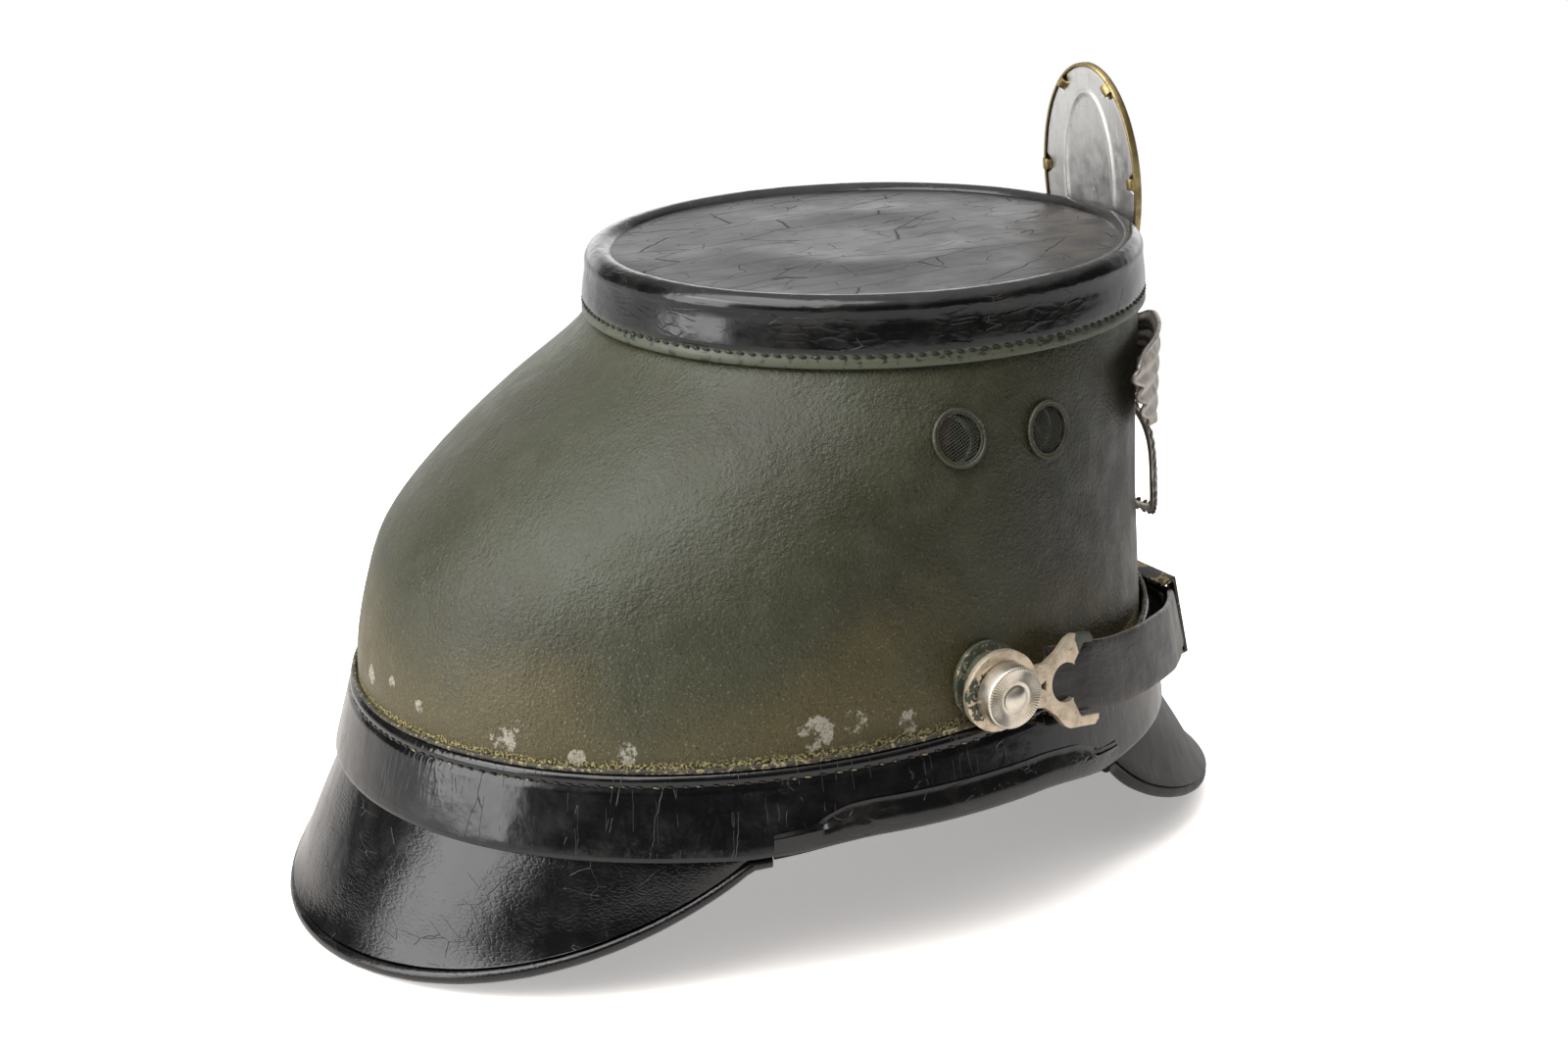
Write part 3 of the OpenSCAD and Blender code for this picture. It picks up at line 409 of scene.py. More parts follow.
def heightOver(where, level, slope, middle=0.0):
    # height over a plane that tilts along the hat
    xyz = put("SeparateXYZ", {0: where}).outputs
    lean = sums("MULTIPLY", sums("SUBTRACT", xyz[0], middle * mm), slope)
    return sums("SUBTRACT", sums("SUBTRACT", xyz[2], lean), level * mm)


def nearSpots(where, spots):
    # 1 within so many millimetres of a few places
    mask = None
    for x, y, z, size in spots:
        away = put("VectorMath", {0: where, 1: (x * mm, y * mm, z * mm)}, operation="DISTANCE")
        near = between(away.outputs["Value"], 0.45 * size * mm, size * mm, 1.0, 0.0)
        mask = near if mask is None else sums("MAXIMUM", mask, near)
    return mask


# bare chalky scuffs on the shell just over the head band: place and reach
scuffs = [(-93.5, -40.3, 57.9, 5.5), (-91.0, -43.0, 62.0, 2.5), (-103.5, -17.4, 60.2, 3.0),
          (-105.5, -6.0, 62.5, 2.5), (-104.0, 6.0, 60.5, 5.0), (-82.4, -54.3, 56.5, 3.5),
          (-74.0, -61.5, 58.2, 4.5), (-36.0, -80.0, 61.5, 7.0), (-27.0, -82.0, 63.0, 5.0),
          (-14.0, -84.5, 60.8, 4.5), (-60.0, 71.0, 60.0, 6.0), (20.0, 85.0, 63.0, 5.0),
          (74.0, 64.0, 66.0, 6.0)]


def paintedFibre():
    # moulded fibre under a thin coat of field green: pebbled, rubbed brown above the band, chalky scuffs, and
    # painted shade darkening the front half of both sides
    made, shader, where = newMaterial("painted moulded fibre")
    shader.inputs["Specular IOR Level"].default_value = 0.4
    over = heightOver(where, hat["bandTop"] + 0.1, bandSlope)
    broad = blotch(where, 38, 3)
    clouds = blotch(where, 8, 4, 0.6)
    fine = blotch(where, 0.75, 3, 0.6)
    speck = blotch(where, 0.5, 2, 0.5)
    base = tint(between(broad, 0.35, 0.65), "#2E2E1F", "#363828")
    base = stained(base, "#404130", clouds, 0.42, 0.75, 0.45)
    # painted shade: broad dark patches over the front half of both sides, darkening the shell there as if it
    # lay in shade
    paintedShade = nearSpots(where, [(70.0, -70.0, 90.0, 62.0), (70.0, 70.0, 90.0, 62.0)])
    base = tint(times(paintedShade, between(clouds, 0.1, 0.6), 0.85), base, "#14130B")
    rubbed = sums("ADD", over, times(sums("SUBTRACT", broad, 0.5), 0.06))
    base = tint(between(rubbed, 0.002, 0.032, 0.9, 0.0), base, "#4A4327")
    base = tint(between(rubbed, -0.004, 0.012, 0.5, 0.0), base, "#403820")
    low = between(over, 0.002, 0.045, 1.0, 0.3)
    base = tint(times(between(speck, 0.62, 0.70), low, 0.6), base, "#7A7459")
    base = stained(base, "#17170F", speck, 0.38, 0.30, 0.8)
    torn = sums("ADD", blotch(where, 3.6, 6, 0.72), times(sums("SUBTRACT", fine, 0.5), 0.12))
    offScuffs = inverse(nearSpots(where, scuffs))
    scuff = between(sums("SUBTRACT", torn, times(offScuffs, 0.4)), 0.46, 0.52)
    base = tint(times(scuff, between(speck, 0.3, 0.6, 0.3, 0.7)), base, "#A5A195")
    crumbHeight = sums("SUBTRACT", over, times(fine, 0.0042))
    crumb = times(between(crumbHeight, -0.0007, 0.0004, 1.0, 0.0), between(speck, 0.42, 0.56))
    base = tint(crumb, base, "#AFA36E")
    shine = between(clouds, 0.3, 0.7, 0.40, 0.52)
    shine = sums("ADD", shine, times(sums("ADD", scuff, crumb), 0.3), True)
    grain = grained(where, [(20, 0.8, 2, 0.55), (2.4, 0.13, 2, 0.5), (1.0, 0.24, 2, 0.5)])
    grain = raised(speck, 0.07, grain)
    grain = raised(sums("ADD", crumb, times(scuff, 0.3)), 0.3, grain)
    wire(shader, base_color=base, roughness=shine, normal=grain)
    return made


def lacquerSurface(where, flow, color, gloss, crack, crease, haze=0.2, wave=1.0):
    # black lacquer that has crazed: its colour, roughness and relief
    dust = blotch(where, 10, 5, 0.65)
    lines = cracks(flow, **crack)
    base = stained(color, "#4A4642", dust, 0.42, 0.8, haze)
    base = tint(times(lines, 0.035), base, "#8C8577")
    shine = between(dust, 0.3, 0.75, gloss, gloss + 0.09)
    shine = sums("ADD", shine, times(lines, 0.2), True)
    grain = grained(where, [(13, 0.25 * wave, 2, 0.5), (4.2, 0.07 * wave, 2, 0.5), (0.9, 0.01, 2, 0.5)])
    deep, patchy = crease.pop("deep"), crease.pop("patchy")
    fold = between(cellWalls(flow, **crease), 0.0, 0.22)
    creased = between(blotch(where, 24, 2), patchy, patchy + 0.14)
    grain = raised(inverse(times(inverse(fold), creased)), deep, grain)
    grain = raised(inverse(lines), 0.06, grain)
    return base, shine, grain


def lacquerLeather(name, **look):
    # black lacquered leather: a glassy coat that has crazed into fine lines and holds a little dust
    made, shader, where = newMaterial(name)
    shader.inputs["Specular IOR Level"].default_value = look.pop("level", 0.5)
    flow = ownMap(where) if look.pop("alongPiece", False) else where
    base, shine, grain = lacquerSurface(where, flow, **look)
    wire(shader, base_color=base, roughness=shine, normal=grain)
    return made


def crownSkirtLacquer():
    # the same lacquer, with the shell's green brushed over its stitched edge
    made, shader, where = newMaterial("crown skirt lacquer")
    crack = {"size": 8.0, "wide": 0.09, "broken": 0.54, "stretch": (0.35, 1.4, 1), "turn": 24, "wobble": 0.1,
             "seed": 0.37}
    crease = {"size": 2.6, "stretch": (0.35, 1.2, 1), "turn": 12, "wobble": 0.15, "deep": 0.03,
              "patchy": 0.45}
    base, shine, grain = lacquerSurface(where, ownMap(where), "#070707", 0.17, crack, crease)
    over = heightOver(where, hat["crownLow"], crownSlope, hat["crownForward"] - hat["baseBack"])
    ragged = sums("ADD", over, times(blotch(where, 1.6, 3), 0.0007))
    strip = between(ragged, 0.0034, 0.0038, 1.0, 0.0)
    chips = between(blotch(where, 2.4, 4, 0.65), 0.56, 0.6)
    strip = times(strip, inverse(times(chips, 0.6)))
    base = tint(times(strip, 0.9), base, "#4A4F3F")
    shine = sums("ADD", shine, times(strip, 0.26), True)
    wire(shader, base_color=base, roughness=shine, normal=grain)
    return made


def crownDiscLeather():
    # the flat of the crown: lacquer dulled by dust, with long open cracks across it
    made, shader, where = newMaterial("cracked crown lacquer")
    dust = blotch(where, 16, 5, 0.6)
    streak = streaks(where, (0.3, 1.6, 1.0), 300.0, turn=0.55)
    long = cracks(where, 15.0, 0.2, 0.36, stretch=(0.3, 1.25, 1), turn=33, wobble=0.1, seed=0.11)
    short = cracks(where, 8.0, 0.12, 0.47, stretch=(0.5, 1.2, 1), turn=18, wobble=0.12, seed=0.43)
    lines = sums("MAXIMUM", long, short)
    base = tint(between(dust, 0.4, 0.75), "#141314", "#262324")
    base = stained(base, "#5E5750", streak, 0.5, 0.8, 0.2)
    settled = nearSpots(where, [(72.0, -20.0, 149.8, 16.0), (84.0, -8.0, 150.0, 12.0),
                                (60.0, -38.0, 149.5, 14.0)])
    dusty = times(settled, between(dust, 0.3, 0.65))
    base = tint(times(dusty, 0.4), base, "#6F685E")
    base = tint(lines, base, "#060505")
    shine = between(dust, 0.3, 0.7, 0.34, 0.44)
    shine = sums("ADD", shine, times(sums("ADD", lines, dusty), 0.25), True)
    grain = grained(where, [(24, 0.2, 2, 0.55), (6, 0.03, 2, 0.55), (1.0, 0.03, 3, 0.6)])
    grain = raised(inverse(lines), 0.14, grain)
    wire(shader, base_color=base, roughness=shine, normal=grain)
    return made


def strapLeather():
    # bare harness leather, waxed and handled: soft sheen, cross creases, brown where the edges have worn
    made, shader, where = newMaterial("worn strap leather")
    dust = blotch(where, 9, 4, 0.6)
    streak = streaks(pushed(ownMap(where), 6, 1.2), (0.1, 1.0, 1.0), 900.0)
    fold = streaks(pushed(ownMap(where), 5, 1.0), (1.0, 0.16, 1.0), 700.0, 3.0, 0.5)
    base = tint(between(dust, 0.35, 0.7), "#151312", "#221E1B")
    base = stained(base, "#3A332D", streak, 0.5, 0.75, 0.3)
    edge = put("Attribute", tree=made.node_tree, attribute_name="edge").outputs["Fac"]
    worn = times(between(blotch(where, 4, 4, 0.65), 0.48, 0.62), edge)
    base = tint(worn, base, "#62401F")
    shine = between(dust, 0.3, 0.7, 0.36, 0.5)
    grain = raised(blotch(where, 0.8, 3, 0.6), 0.09)
    grain = raised(streak, 0.05, grain)
    grain = raised(fold, 0.16, grain)
    grain = raised(blotch(where, 7, 2), 0.35, grain)
    wire(shader, base_color=base, roughness=shine, normal=grain)
    return made


def metalFinish(name, color, dark, roughness, grime=0.4, metallic=1.0, rolled=None):
    # bare metal with handling marks: a few fine scratches, and grime that dulls it unevenly
    made, shader, where = newMaterial(name, roughness, metallic)
    cloud = blotch(where, 4, 4, 0.6)
    pit = blotch(where, 0.8, 2, 0.5)
    base = stained(color, dark, cloud, 0.42, 0.75, grime)
    base = stained(base, dark, pit, 0.66, 0.74, 0.5)
    shine = between(cloud, 0.3, 0.75, roughness, roughness + 0.15)
    grain = raised(blotch(where, 2.5, 2), 0.03)
    if rolled:
        line = streaks(where, rolled, 1400.0)
        base = stained(base, dark, line, 0.45, 0.75, 0.3)
        grain = raised(line, 0.01, grain)
    scratch = cracks(where, 7.0, 0.07, 0.52, stretch=(0.5, 1.3, 0.5), turn=25, wobble=0.05)
    grain = raised(inverse(scratch), 0.02, grain)
    wire(shader, base_color=base, roughness=shine, normal=grain)
    return made


def chippedPaint(name, paint, faded, bare, chip=0.60, roughness=0.45, size=3.2, metallic=0.9):
    # paint over metal or leather, faded in places and chipped on its high spots
    made, shader, where = newMaterial(name, roughness)
    chipped = between(blotch(where, size, 4, 0.65), chip, chip + 0.02)
    base = tint(between(blotch(where, 7, 3), 0.35, 0.7), paint, faded)
    base = stained(base, bare, blotch(where, 0.7, 2), 0.6, 0.7, 0.4)
    base = tint(chipped, base, bare)
    grain = raised(inverse(chipped), 0.07)
    grain = raised(blotch(where, 0.8, 2), 0.04, grain)
    wire(shader, base_color=base, normal=grain)
    if metallic:
        wire(shader, metallic=times(chipped, metallic))
    return made


def lugNickel():
    # flat worn nickel gone cream, with the hat's green left on the tip of each upper prong
    made, shader, where = newMaterial("worn nickel lug", 0.4)
    cloud = blotch(where, 3.5, 4, 0.6)
    pit = blotch(where, 0.7, 2, 0.5)
    base = tint(between(cloud, 0.4, 0.75), "#CDBEA8", "#A3937B")
    base = stained(base, "#4A4135", pit, 0.64, 0.72, 0.6)
    ragged = pushed(where, 2.2, 0.8)
    green = nearSpots(ragged, [(36.0, -85.5, 71.8, 7.6), (36.0, 85.5, 71.8, 7.6)])
    eye = nearSpots(ragged, [(2.5, -93.0, 65.0, 9.0), (2.5, 93.0, 65.0, 9.0)])
    eye = times(eye, between(blotch(where, 2.2, 4, 0.7), 0.56, 0.5))
    green = between(sums("MAXIMUM", green, eye), 0.45, 0.55)
    base = tint(green, base, "#343A2E")
    grain = raised(blotch(where, 1.6, 3), 0.06)
    grain = raised(green, 0.08, grain)
    wire(shader, base_color=base, roughness=between(cloud, 0.3, 0.7, 0.32, 0.48),
         metallic=times(inverse(green), 0.7), normal=grain)
    return made


def liningLeather():
    # thin vegetable tanned sheepskin, darkened by wear
    made, shader, where = newMaterial("sweatband sheepskin", 0.62)
    base = tint(between(blotch(where, 14, 4, 0.6), 0.35, 0.7), "#6B4A2E", "#4A3221")
    base = stained(base, "#2C1D13", blotch(where, 3, 3), 0.6, 0.7, 0.4)
    wire(shader, base_color=base, normal=grained(where, [(1.1, 0.08, 3, 0.6), (12, 0.4, 2, 0.55)]))
    return made


def feltCloth():
    # pressed wool felt
    made, shader, where = newMaterial("pressed wool felt", 0.95)
    shader.inputs["Sheen Weight"].default_value = 0.3
    base = tint(blotch(where, 1.5, 4, 0.7), "#2E2E2A", "#45443E")
    wire(shader, base_color=base, normal=raised(blotch(where, 0.5, 4, 0.7), 0.15))
    return made


def linenThread(name, dark, pale, worn):
    # waxed thread, rubbed pale here and there
    made, shader, where = newMaterial(name, 0.6)
    base = tint(between(blotch(where, 2.4, 3), worn, worn + 0.06), dark, pale)
    wire(shader, base_color=base, normal=raised(blotch(where, 0.3, 2), 0.05))
    return made


finish = {
    "shell": paintedFibre(),
    "skirt": crownSkirtLacquer(),
    "band": lacquerLeather(
        "head band lacquer", alongPiece=True, color="#070708", gloss=0.14, haze=0.1,
        crack={"size": 8.0, "wide": 0.09, "broken": 0.5, "stretch": (1.6, 0.2, 1), "wobble": 0.08},
        crease={"size": 3.0, "stretch": (1.3, 0.25, 1), "wobble": 0.1, "deep": 0.035, "patchy": 0.46}),
    "binding": lacquerLeather(
        "binding lacquer", color="#0B0B0B", gloss=0.2, wave=1.4,
        crack={"size": 6.0, "wide": 0.14, "broken": 0.56},
        crease={"size": 4.0, "stretch": (0.4, 0.4, 1.4), "deep": 0.1, "patchy": 0.45}),
    "rearVisor": lacquerLeather(
        "rear visor lacquer", color="#070708", gloss=0.18, haze=0.1,
        crack={"size": 9.0, "wide": 0.08, "broken": 0.52, "stretch": (1.3, 0.5, 1.6), "turn": 12,
               "wobble": 0.1},
        crease={"size": 1.7, "stretch": (1.2, 0.8, 1.9), "turn": 12, "wobble": 0.2, "deep": 0.02,
                "patchy": 0.36}),
    "frontVisor": lacquerLeather(
        "front visor lacquer", color="#0E0E0E", gloss=0.4, haze=0.3, level=0.25,
        crack={"size": 18.0, "wide": 0.1, "broken": 0.55, "stretch": (0.5, 1, 1), "turn": 40},
        crease={"size": 3.0, "deep": 0.02, "patchy": 0.5}),
    "disc": crownDiscLeather(),
    "strap": strapLeather(),
    "piping": chippedPaint("dusty band edge", "#211F17", "#34301F", "#8A8060", 0.56, 0.6, 1.2, 0.0),
    "thread": linenThread("waxed linen thread", "#0F0E0D", "#4E4A3E", 0.62),
    "bandThread": linenThread("rubbed linen thread", "#14130F", "#7D755B", 0.54),
    "wire": metalFinish("painted wire", "#2C2D22", "#15160F", 0.55, metallic=0.0),
    "greenPaint": chippedPaint("chipped field green paint", "#33372B", "#474B3D", "#AFA58A", 0.60),
    "greenRing": chippedPaint("vent ring paint", "#2A2A1E", "#373829", "#6A695A", 0.62, 0.5),
    "knob": metalFinish("turned aluminium", "#DCD4C6", "#958B7C", 0.3, grime=0.35),
    "lug": lugNickel(),
    "steel": metalFinish("zinc plated steel", "#9A978F", "#5A564E", 0.42),
    "plate": metalFinish("dull pressed aluminium", "#B9B2AA", "#6D6660", 0.48, grime=0.5),
    "cockade": metalFinish("rolled aluminium sheet", "#E2E1DE", "#B0ADA8", 0.38, grime=0.25,
                           rolled=(1.0, 1.0, 0.06)),
    "brass": metalFinish("tarnished brass", "#A8966A", "#4F4630", 0.38, grime=0.6),
    "slider": chippedPaint("slider lacquer worn to brass", "#171614", "#1F1D19", "#9C8450", 0.56, 0.3, 4.0),
    "lining": liningLeather(),
    "felt": feltCloth(),
}
print("materials made:", len(finish))

# Shell
shellPiece = {"steps": 160, "rowHigh": 3.0, "top": 146.4, "ventHole": 12.2, "postHole": 5.3}


def shellBody():
    wall, crownIn, top = hat["shellWall"], hat["crownIn"], shellPiece["top"]
    heights = []
    z = hat["shellLow"]
    while z < hat["crownLow"] - 1.5:
        heights.append(z)
        z += shellPiece["rowHigh"]
    heights.append(hat["crownLow"] - 0.6)
    outer = [lambda a, z=z: shellPoint(a, z) for z in heights]
    outer += [lambda a: crownPoint(a, crownIn, hat["crownLow"] - 0.2), lambda a: crownPoint(a, crownIn, top)]
    inner = [lambda a: crownPoint(a, crownIn + wall, top),
             lambda a: crownPoint(a, crownIn + wall, hat["crownLow"])]
    for z in heights[-2::-1]:
        def inside(a, z=z):
            p = shellPoint(a, z + 0.6 * wall, -wall)
            return Vector((p.x, p.y, p.z - 0.6 * wall))
        inner.append(inside)
    rows = outer + inner
    return ringMesh(len(rows), shellPiece["steps"], lambda i, a: rows[i](a))


def drillBit(place, wide, deep, segments):
    bm = bmesh.new()
    bmesh.ops.create_cone(bm, cap_ends=True, segments=segments, radius1=wide / 2 * mm, radius2=wide / 2 * mm,
                          depth=deep * mm, matrix=place)
    return bm


# Side places: local Z points out of the shell's right side, square to it
def sideSlope(x, z, dx, dz):
    return (shellSideY(x - dx, z - dz) - shellSideY(x + dx, z + dz)) / (2 * (dx + dz))


def sideLean(x, z):
    return math.atan(sideSlope(x, z, 0, 2) / math.sqrt(1 + sideSlope(x, z, 2, 0) ** 2))


def sidePlace(x, z):
    turn = math.atan(sideSlope(x, z, 2, 0))
    return (Matrix.Translation(Vector((x - hat["baseBack"], -shellSideY(x, z), z)) * mm)
            @ Matrix.Rotation(turn, 4, "Z") @ Matrix.Rotation(math.pi / 2 - sideLean(x, z), 4, "X"))


vent = {"xs": (11.0, 36.5), "z": 120.0, "drop": 0.075, "mesh": 11.0, "pitch": 0.66, "wire": 0.25,
        "dome": 0.45}
post = {"x": 10.5, "z": 65.5, "knob": 14.8, "knobLong": 5.6, "barrel": 11.6, "shank": 5.0, "washer": 19.5,
        "washerThick": 1.4, "lugThick": 1.6, "flutes": 66}
ventPlaces = [sidePlace(x, vent["z"] - vent["drop"] * (x - vent["xs"][0])) for x in vent["xs"]]
collarOut = shellSideY(post["x"], post["z"] - post["washer"] / 2) + post["washerThick"] + 1.8
postPlace = (Matrix.Translation(Vector((post["x"] - hat["baseBack"], 0, post["z"])) * mm)
             @ Matrix.Rotation(math.pi / 2, 4, "X"))

form = shellBody()
bmesh.ops.recalc_face_normals(form, faces=form.faces)
shellForm = asObject("shell form", form)
cuts = []
for place in ventPlaces:
    bit = drillBit(place, shellPiece["ventHole"], 20, 40)
    cuts += [bit, mirrored(bit)]
for side in (-1, 1):
    place = Matrix.Translation((0, side * hat["baseB"] * mm, 0)) @ postPlace
    cuts.append(drillBit(place, shellPiece["postHole"], 30, 32))
cutter = joinMeshes(cuts)
bmesh.ops.recalc_face_normals(cutter, faces=cutter.faces)
cutObject = asObject("cuts", cutter)
drill = shellForm.modifiers.new("drill", "BOOLEAN")
drill.object = cutObject
drill.solver = "EXACT"
bpy.context.view_layer.update()
graph = bpy.context.evaluated_depsgraph_get()
drilled = bpy.data.meshes.new_from_object(shellForm.evaluated_get(graph))
bm = bmesh.new()
bm.from_mesh(drilled)
for gone in (shellForm, cutObject):
    bpy.data.objects.remove(gone)
makePiece("shell_body", bm, "hat", "shell", ["shell"], sharp=35)
print("shell made")

# Crown
cap = {"steps": 200, "bead": 7.4, "beadHigh": 3.4, "wall": 1.7, "stitchHigh": 2.7, "groove": 0.35,
       "stitches": 146, "threadLong": 2.1, "threadWide": 0.8}


def crownCap():
    low = hat["crownLow"]
    rows = [(0.25, low), (0.0, low + 0.3), (-0.05, low + 1.2), (0.0, low + 2.0),
            (cap["groove"], low + 2.5), (cap["groove"], low + 2.9), (0.02, low + 3.5), (-0.03, low + 4.6),
            (0.05, low + 7), (0.2, low + 9.4), (0.22, low + 11), (0.08, low + 12)]
    half = cap["bead"] / 2
    for f in range(0, 181, 10):
        g = math.radians(f)
        rows.append((half * (1 - math.cos(g)), discZ + 0.2 + cap["beadHigh"] * math.sin(g)))
    soft = len(rows)
    rows += [(cap["bead"] - 0.1, discZ + 0.05), (cap["wall"], discZ + 0.05), (cap["wall"], low)]

    def place(i, a):
        off, z = rows[i]
        if 3 < i < soft:
            off += 0.3 * wander(3 * math.cos(a), 3 * math.sin(a), z * 0.12)
            off += 0.16 * wander(9 * math.cos(a), 9 * math.sin(a), z * 0.3, 5)
        return crownPoint(a, off, z)
    return ringMesh(len(rows), cap["steps"], place)


def stitchRow(count, point, long, wide):
    # a row of short threads that lie along a path
    bm = bmesh.new()
    for k in range(count):
        a = 2 * math.pi * (k + 0.12 * wander(k * 1.7, 3)) / count
        here, ahead, out = point(a), point(a + 0.004), point(a, 1.0)
        along = (ahead - here).normalized()
        out = (out - here).normalized()
        up = along.cross(out).normalized()
        tilt = 0.16 + 0.1 * wander(k * 2.3, 8)
        along = (along + up * tilt).normalized()
        up = along.cross(out).normalized()
        turn = Matrix((along, up, out)).transposed().to_4x4()
        grow = Matrix.Diagonal((long / 2 * (1 + 0.15 * wander(k * 3.1, 2)), wide / 2, wide / 2 * 0.8, 1))
        place = Matrix.Translation(here * mm) @ millimetres @ turn @ grow
        bmesh.ops.create_uvsphere(bm, u_segments=6, v_segments=4, radius=1, matrix=place)
    return bm


makePiece("crown_cap_leather", crownCap(), "hat", "skirt", ["crown_cap"], sharp=50)
stitchZ = hat["crownLow"] + cap["stitchHigh"]
makePiece("crown_stitches",
          stitchRow(cap["stitches"], lambda a, out=0: crownPoint(a, cap["groove"] - 0.3 - out, stitchZ),
                    cap["threadLong"], cap["threadWide"]), "hat", "thread", sharp=80)

disc = {"steps": 144, "thick": 2.2, "proud": 2.3,
        "rise": [(1.0, 0.0), (0.93, -0.05), (0.87, -0.15), (0.8, -0.12), (0.72, 0.0), (0.64, 0.12),
                 (0.58, 0.3), (0.53, 0.55), (0.48, 0.82), (0.43, 0.92), (0.38, 0.85), (0.32, 0.55),
                 (0.25, 0.32), (0.16, 0.22), (0.08, 0.2), (0.001, 0.2)]}


def crownDisc():
    rows = list(reversed(disc["rise"])) + [(r, -disc["thick"]) for r in (1.0, 0.5, 0.001)]
    a0 = hat["crownA"] - hat["leanA"] - hat["crownIn"]
    b0 = hat["crownB"] - hat["leanB"] - hat["crownIn"]

    def place(i, a):
        r, up = rows[i]
        x, y = a0 * r * math.cos(a), b0 * r * math.sin(a)
        soft = 0.0
        if i < len(disc["rise"]):
            soft = 0.18 * wander(x * 0.05, y * 0.05, 1) * smooth((1 - r) * 8)
            soft += disc["proud"] * smooth((1.0 - r) * 16 + 0.4)
        return Vector((hat["crownForward"] + x - hat["baseBack"], y, discZ + up + soft + crownSlope * x))
    bm = ringMesh(len(rows), disc["steps"], place, closed=False)
    bmesh.ops.remove_doubles(bm, verts=bm.verts, dist=0.12 * mm)
    return bm


makePiece("crown_disc_leather", crownDisc(), "hat", "disc", ["crown_disc"], sharp=50)
print("crown made")

# Head band
band = {"steps": 220, "stitchDown": 2.6, "groove": 0.4, "stitches": 186, "threadLong": 1.9, "threadWide": 0.5}


def headBand():
    def rows(a):
        e, r = bandEdge(a), bandRim(a)
        flare, thick = hat["bandFlare"], hat["leather"]
        out = [(flare + 0.2, e + 0.25), (flare + 0.9, e - 0.05), (flare + thick + 0.25, e + 0.0),
               (flare + thick + 0.55, e + 0.4)]
        for z in (e + 1.2, e + 3, e + 5, mix(e + 5, r - 4.5, 0.33), mix(e + 5, r - 4.5, 0.66), r - 4.4,
                  r - 3.5):
            out.append((bandOuter(a, z), z))
        out += [(bandOuter(a, r - 2.9) - band["groove"], r - 2.9),
                (bandOuter(a, r - 2.3) - band["groove"], r - 2.3), (bandOuter(a, r - 1.8), r - 1.8),
                (bandOuter(a, r) - 0.1, r - 1.1), (bandOuter(a, r) - 0.5, r - 0.4), (hat["fit"] + 0.9, r),
                (hat["fit"], r), (bandOff(a, (e + r) / 2), (e + r) / 2)]
        return out

    def place(i, a):
        off, z = rows(a)[i]
        if 3 < i < 15:
            off += 0.12 * min(0, wander(4 * math.cos(a), 4 * math.sin(a), z * 0.1, 3))
        return basePoint(a, off, z)
    return ringMesh(len(rows(0)), band["steps"], place)


def bandPoint(a, out=0.0):
    z = bandRim(a) - band["stitchDown"]
    return basePoint(a, bandOuter(a, z) - band["groove"] + 0.1 + out, z)


makePiece("head_band_leather", headBand(), "hat", "band", ["base_band"], sharp=50)
makePiece("band_stitches", stitchRow(band["stitches"], bandPoint, band["threadLong"], band["threadWide"]),
          "hat", "bandThread", sharp=80)

piping = {"round": 0.7, "steps": 300}


def bandPiping():
    def place(i, a):
        r = piping["round"]
        f = 2 * math.pi * i / 8
        rr = r * (0.86 + 0.16 * wander(60 * math.cos(a), 60 * math.sin(a), i))
        return basePoint(a, hat["fit"] + r + rr * math.cos(f), bandRim(a) + r + 0.05 + rr * math.sin(f))
    return ringMesh(8, piping["steps"], place)


makePiece("band_lip", bandPiping(), "hat", "piping", ["band_piping"], sharp=80)

binding = {"from": 61.0, "to": 115.0, "high": 7.5, "thick": 0.8, "rows": 49}


def sideBinding():
    thick, wall = hat["leather"], hat["shellWall"]

    def place(i, k):
        a = math.radians(mix(binding["from"], binding["to"], i / (binding["rows"] - 1)))
        e = bandEdge(a)
        o = hat["bandFlare"] + thick
        full = smooth(min(i, binding["rows"] - 1 - i) / 9)
        h = mix(3.0, binding["high"], full)
        soft = 0.15 * wander(i * 0.35, 2) * full
        t = mix(0.12, binding["thick"], full)
        top = bandOff(a, e + h) + thick
        section = [(top + 0.42, e + h), (top + 0.45 + t * 0.35, e + h + 0.1), (top + t, e + h - 0.35),
                   (top + t + 0.1 + soft, e + h - 1.6), (o + t + 0.35, e + 4.0), (o + t + 0.42, e + 2),
                   (o + t + 0.3, e + 0.4), (o + t - 0.1, e - 0.6), (o + t - 0.8, e - 0.95), (o, e - 0.9),
                   (0, e - 0.9), (-wall, e - 0.9), (-wall, e - 0.1), (0, e - 0.1), (o - 0.2, e - 0.1),
                   (o + 0.12, e + 0.1), (o + 0.45, e + 1.2), (o + 0.5, e + 2.2), (top + 0.5, e + 5)]
        off, z = section[k]
        return basePoint(a, off, z)
    return loftMesh(binding["rows"], 19, place)


left = sideBinding()
for side, bm in (("left", left), ("right", mirrored(left))):
    makePiece("side_binding_leather_" + side, bm, "hat", "binding", ["side_binding_" + side],
              sharp=60)
print("head band made")

# Visors
visors = {
    "rear": {"dir": -1, "end": 65.0, "slope": 62.8, "fade": (1.98, 0.856, 25.0), "curl": 0.75, "lap": 0.0},
    "front": {"dir": 1, "end": 61.0, "slope": 54.4, "fade": (1.62, 0.69, 28.0), "curl": 1.5, "lap": 1.3},
}
rim = {"round": 1.8, "fit": 0.15, "restCut": 0.5, "flange": 8.0, "rows": 121, "curlLong": 6.0}


def visorWidth(slope):
    s = math.radians(slope)
    drop = bandEdge(0) - 0.1 + rim["restCut"] - rim["round"] - hat["leather"] / 2 * math.cos(s)
    return rim["round"] - rim["fit"] + drop / math.sin(s)


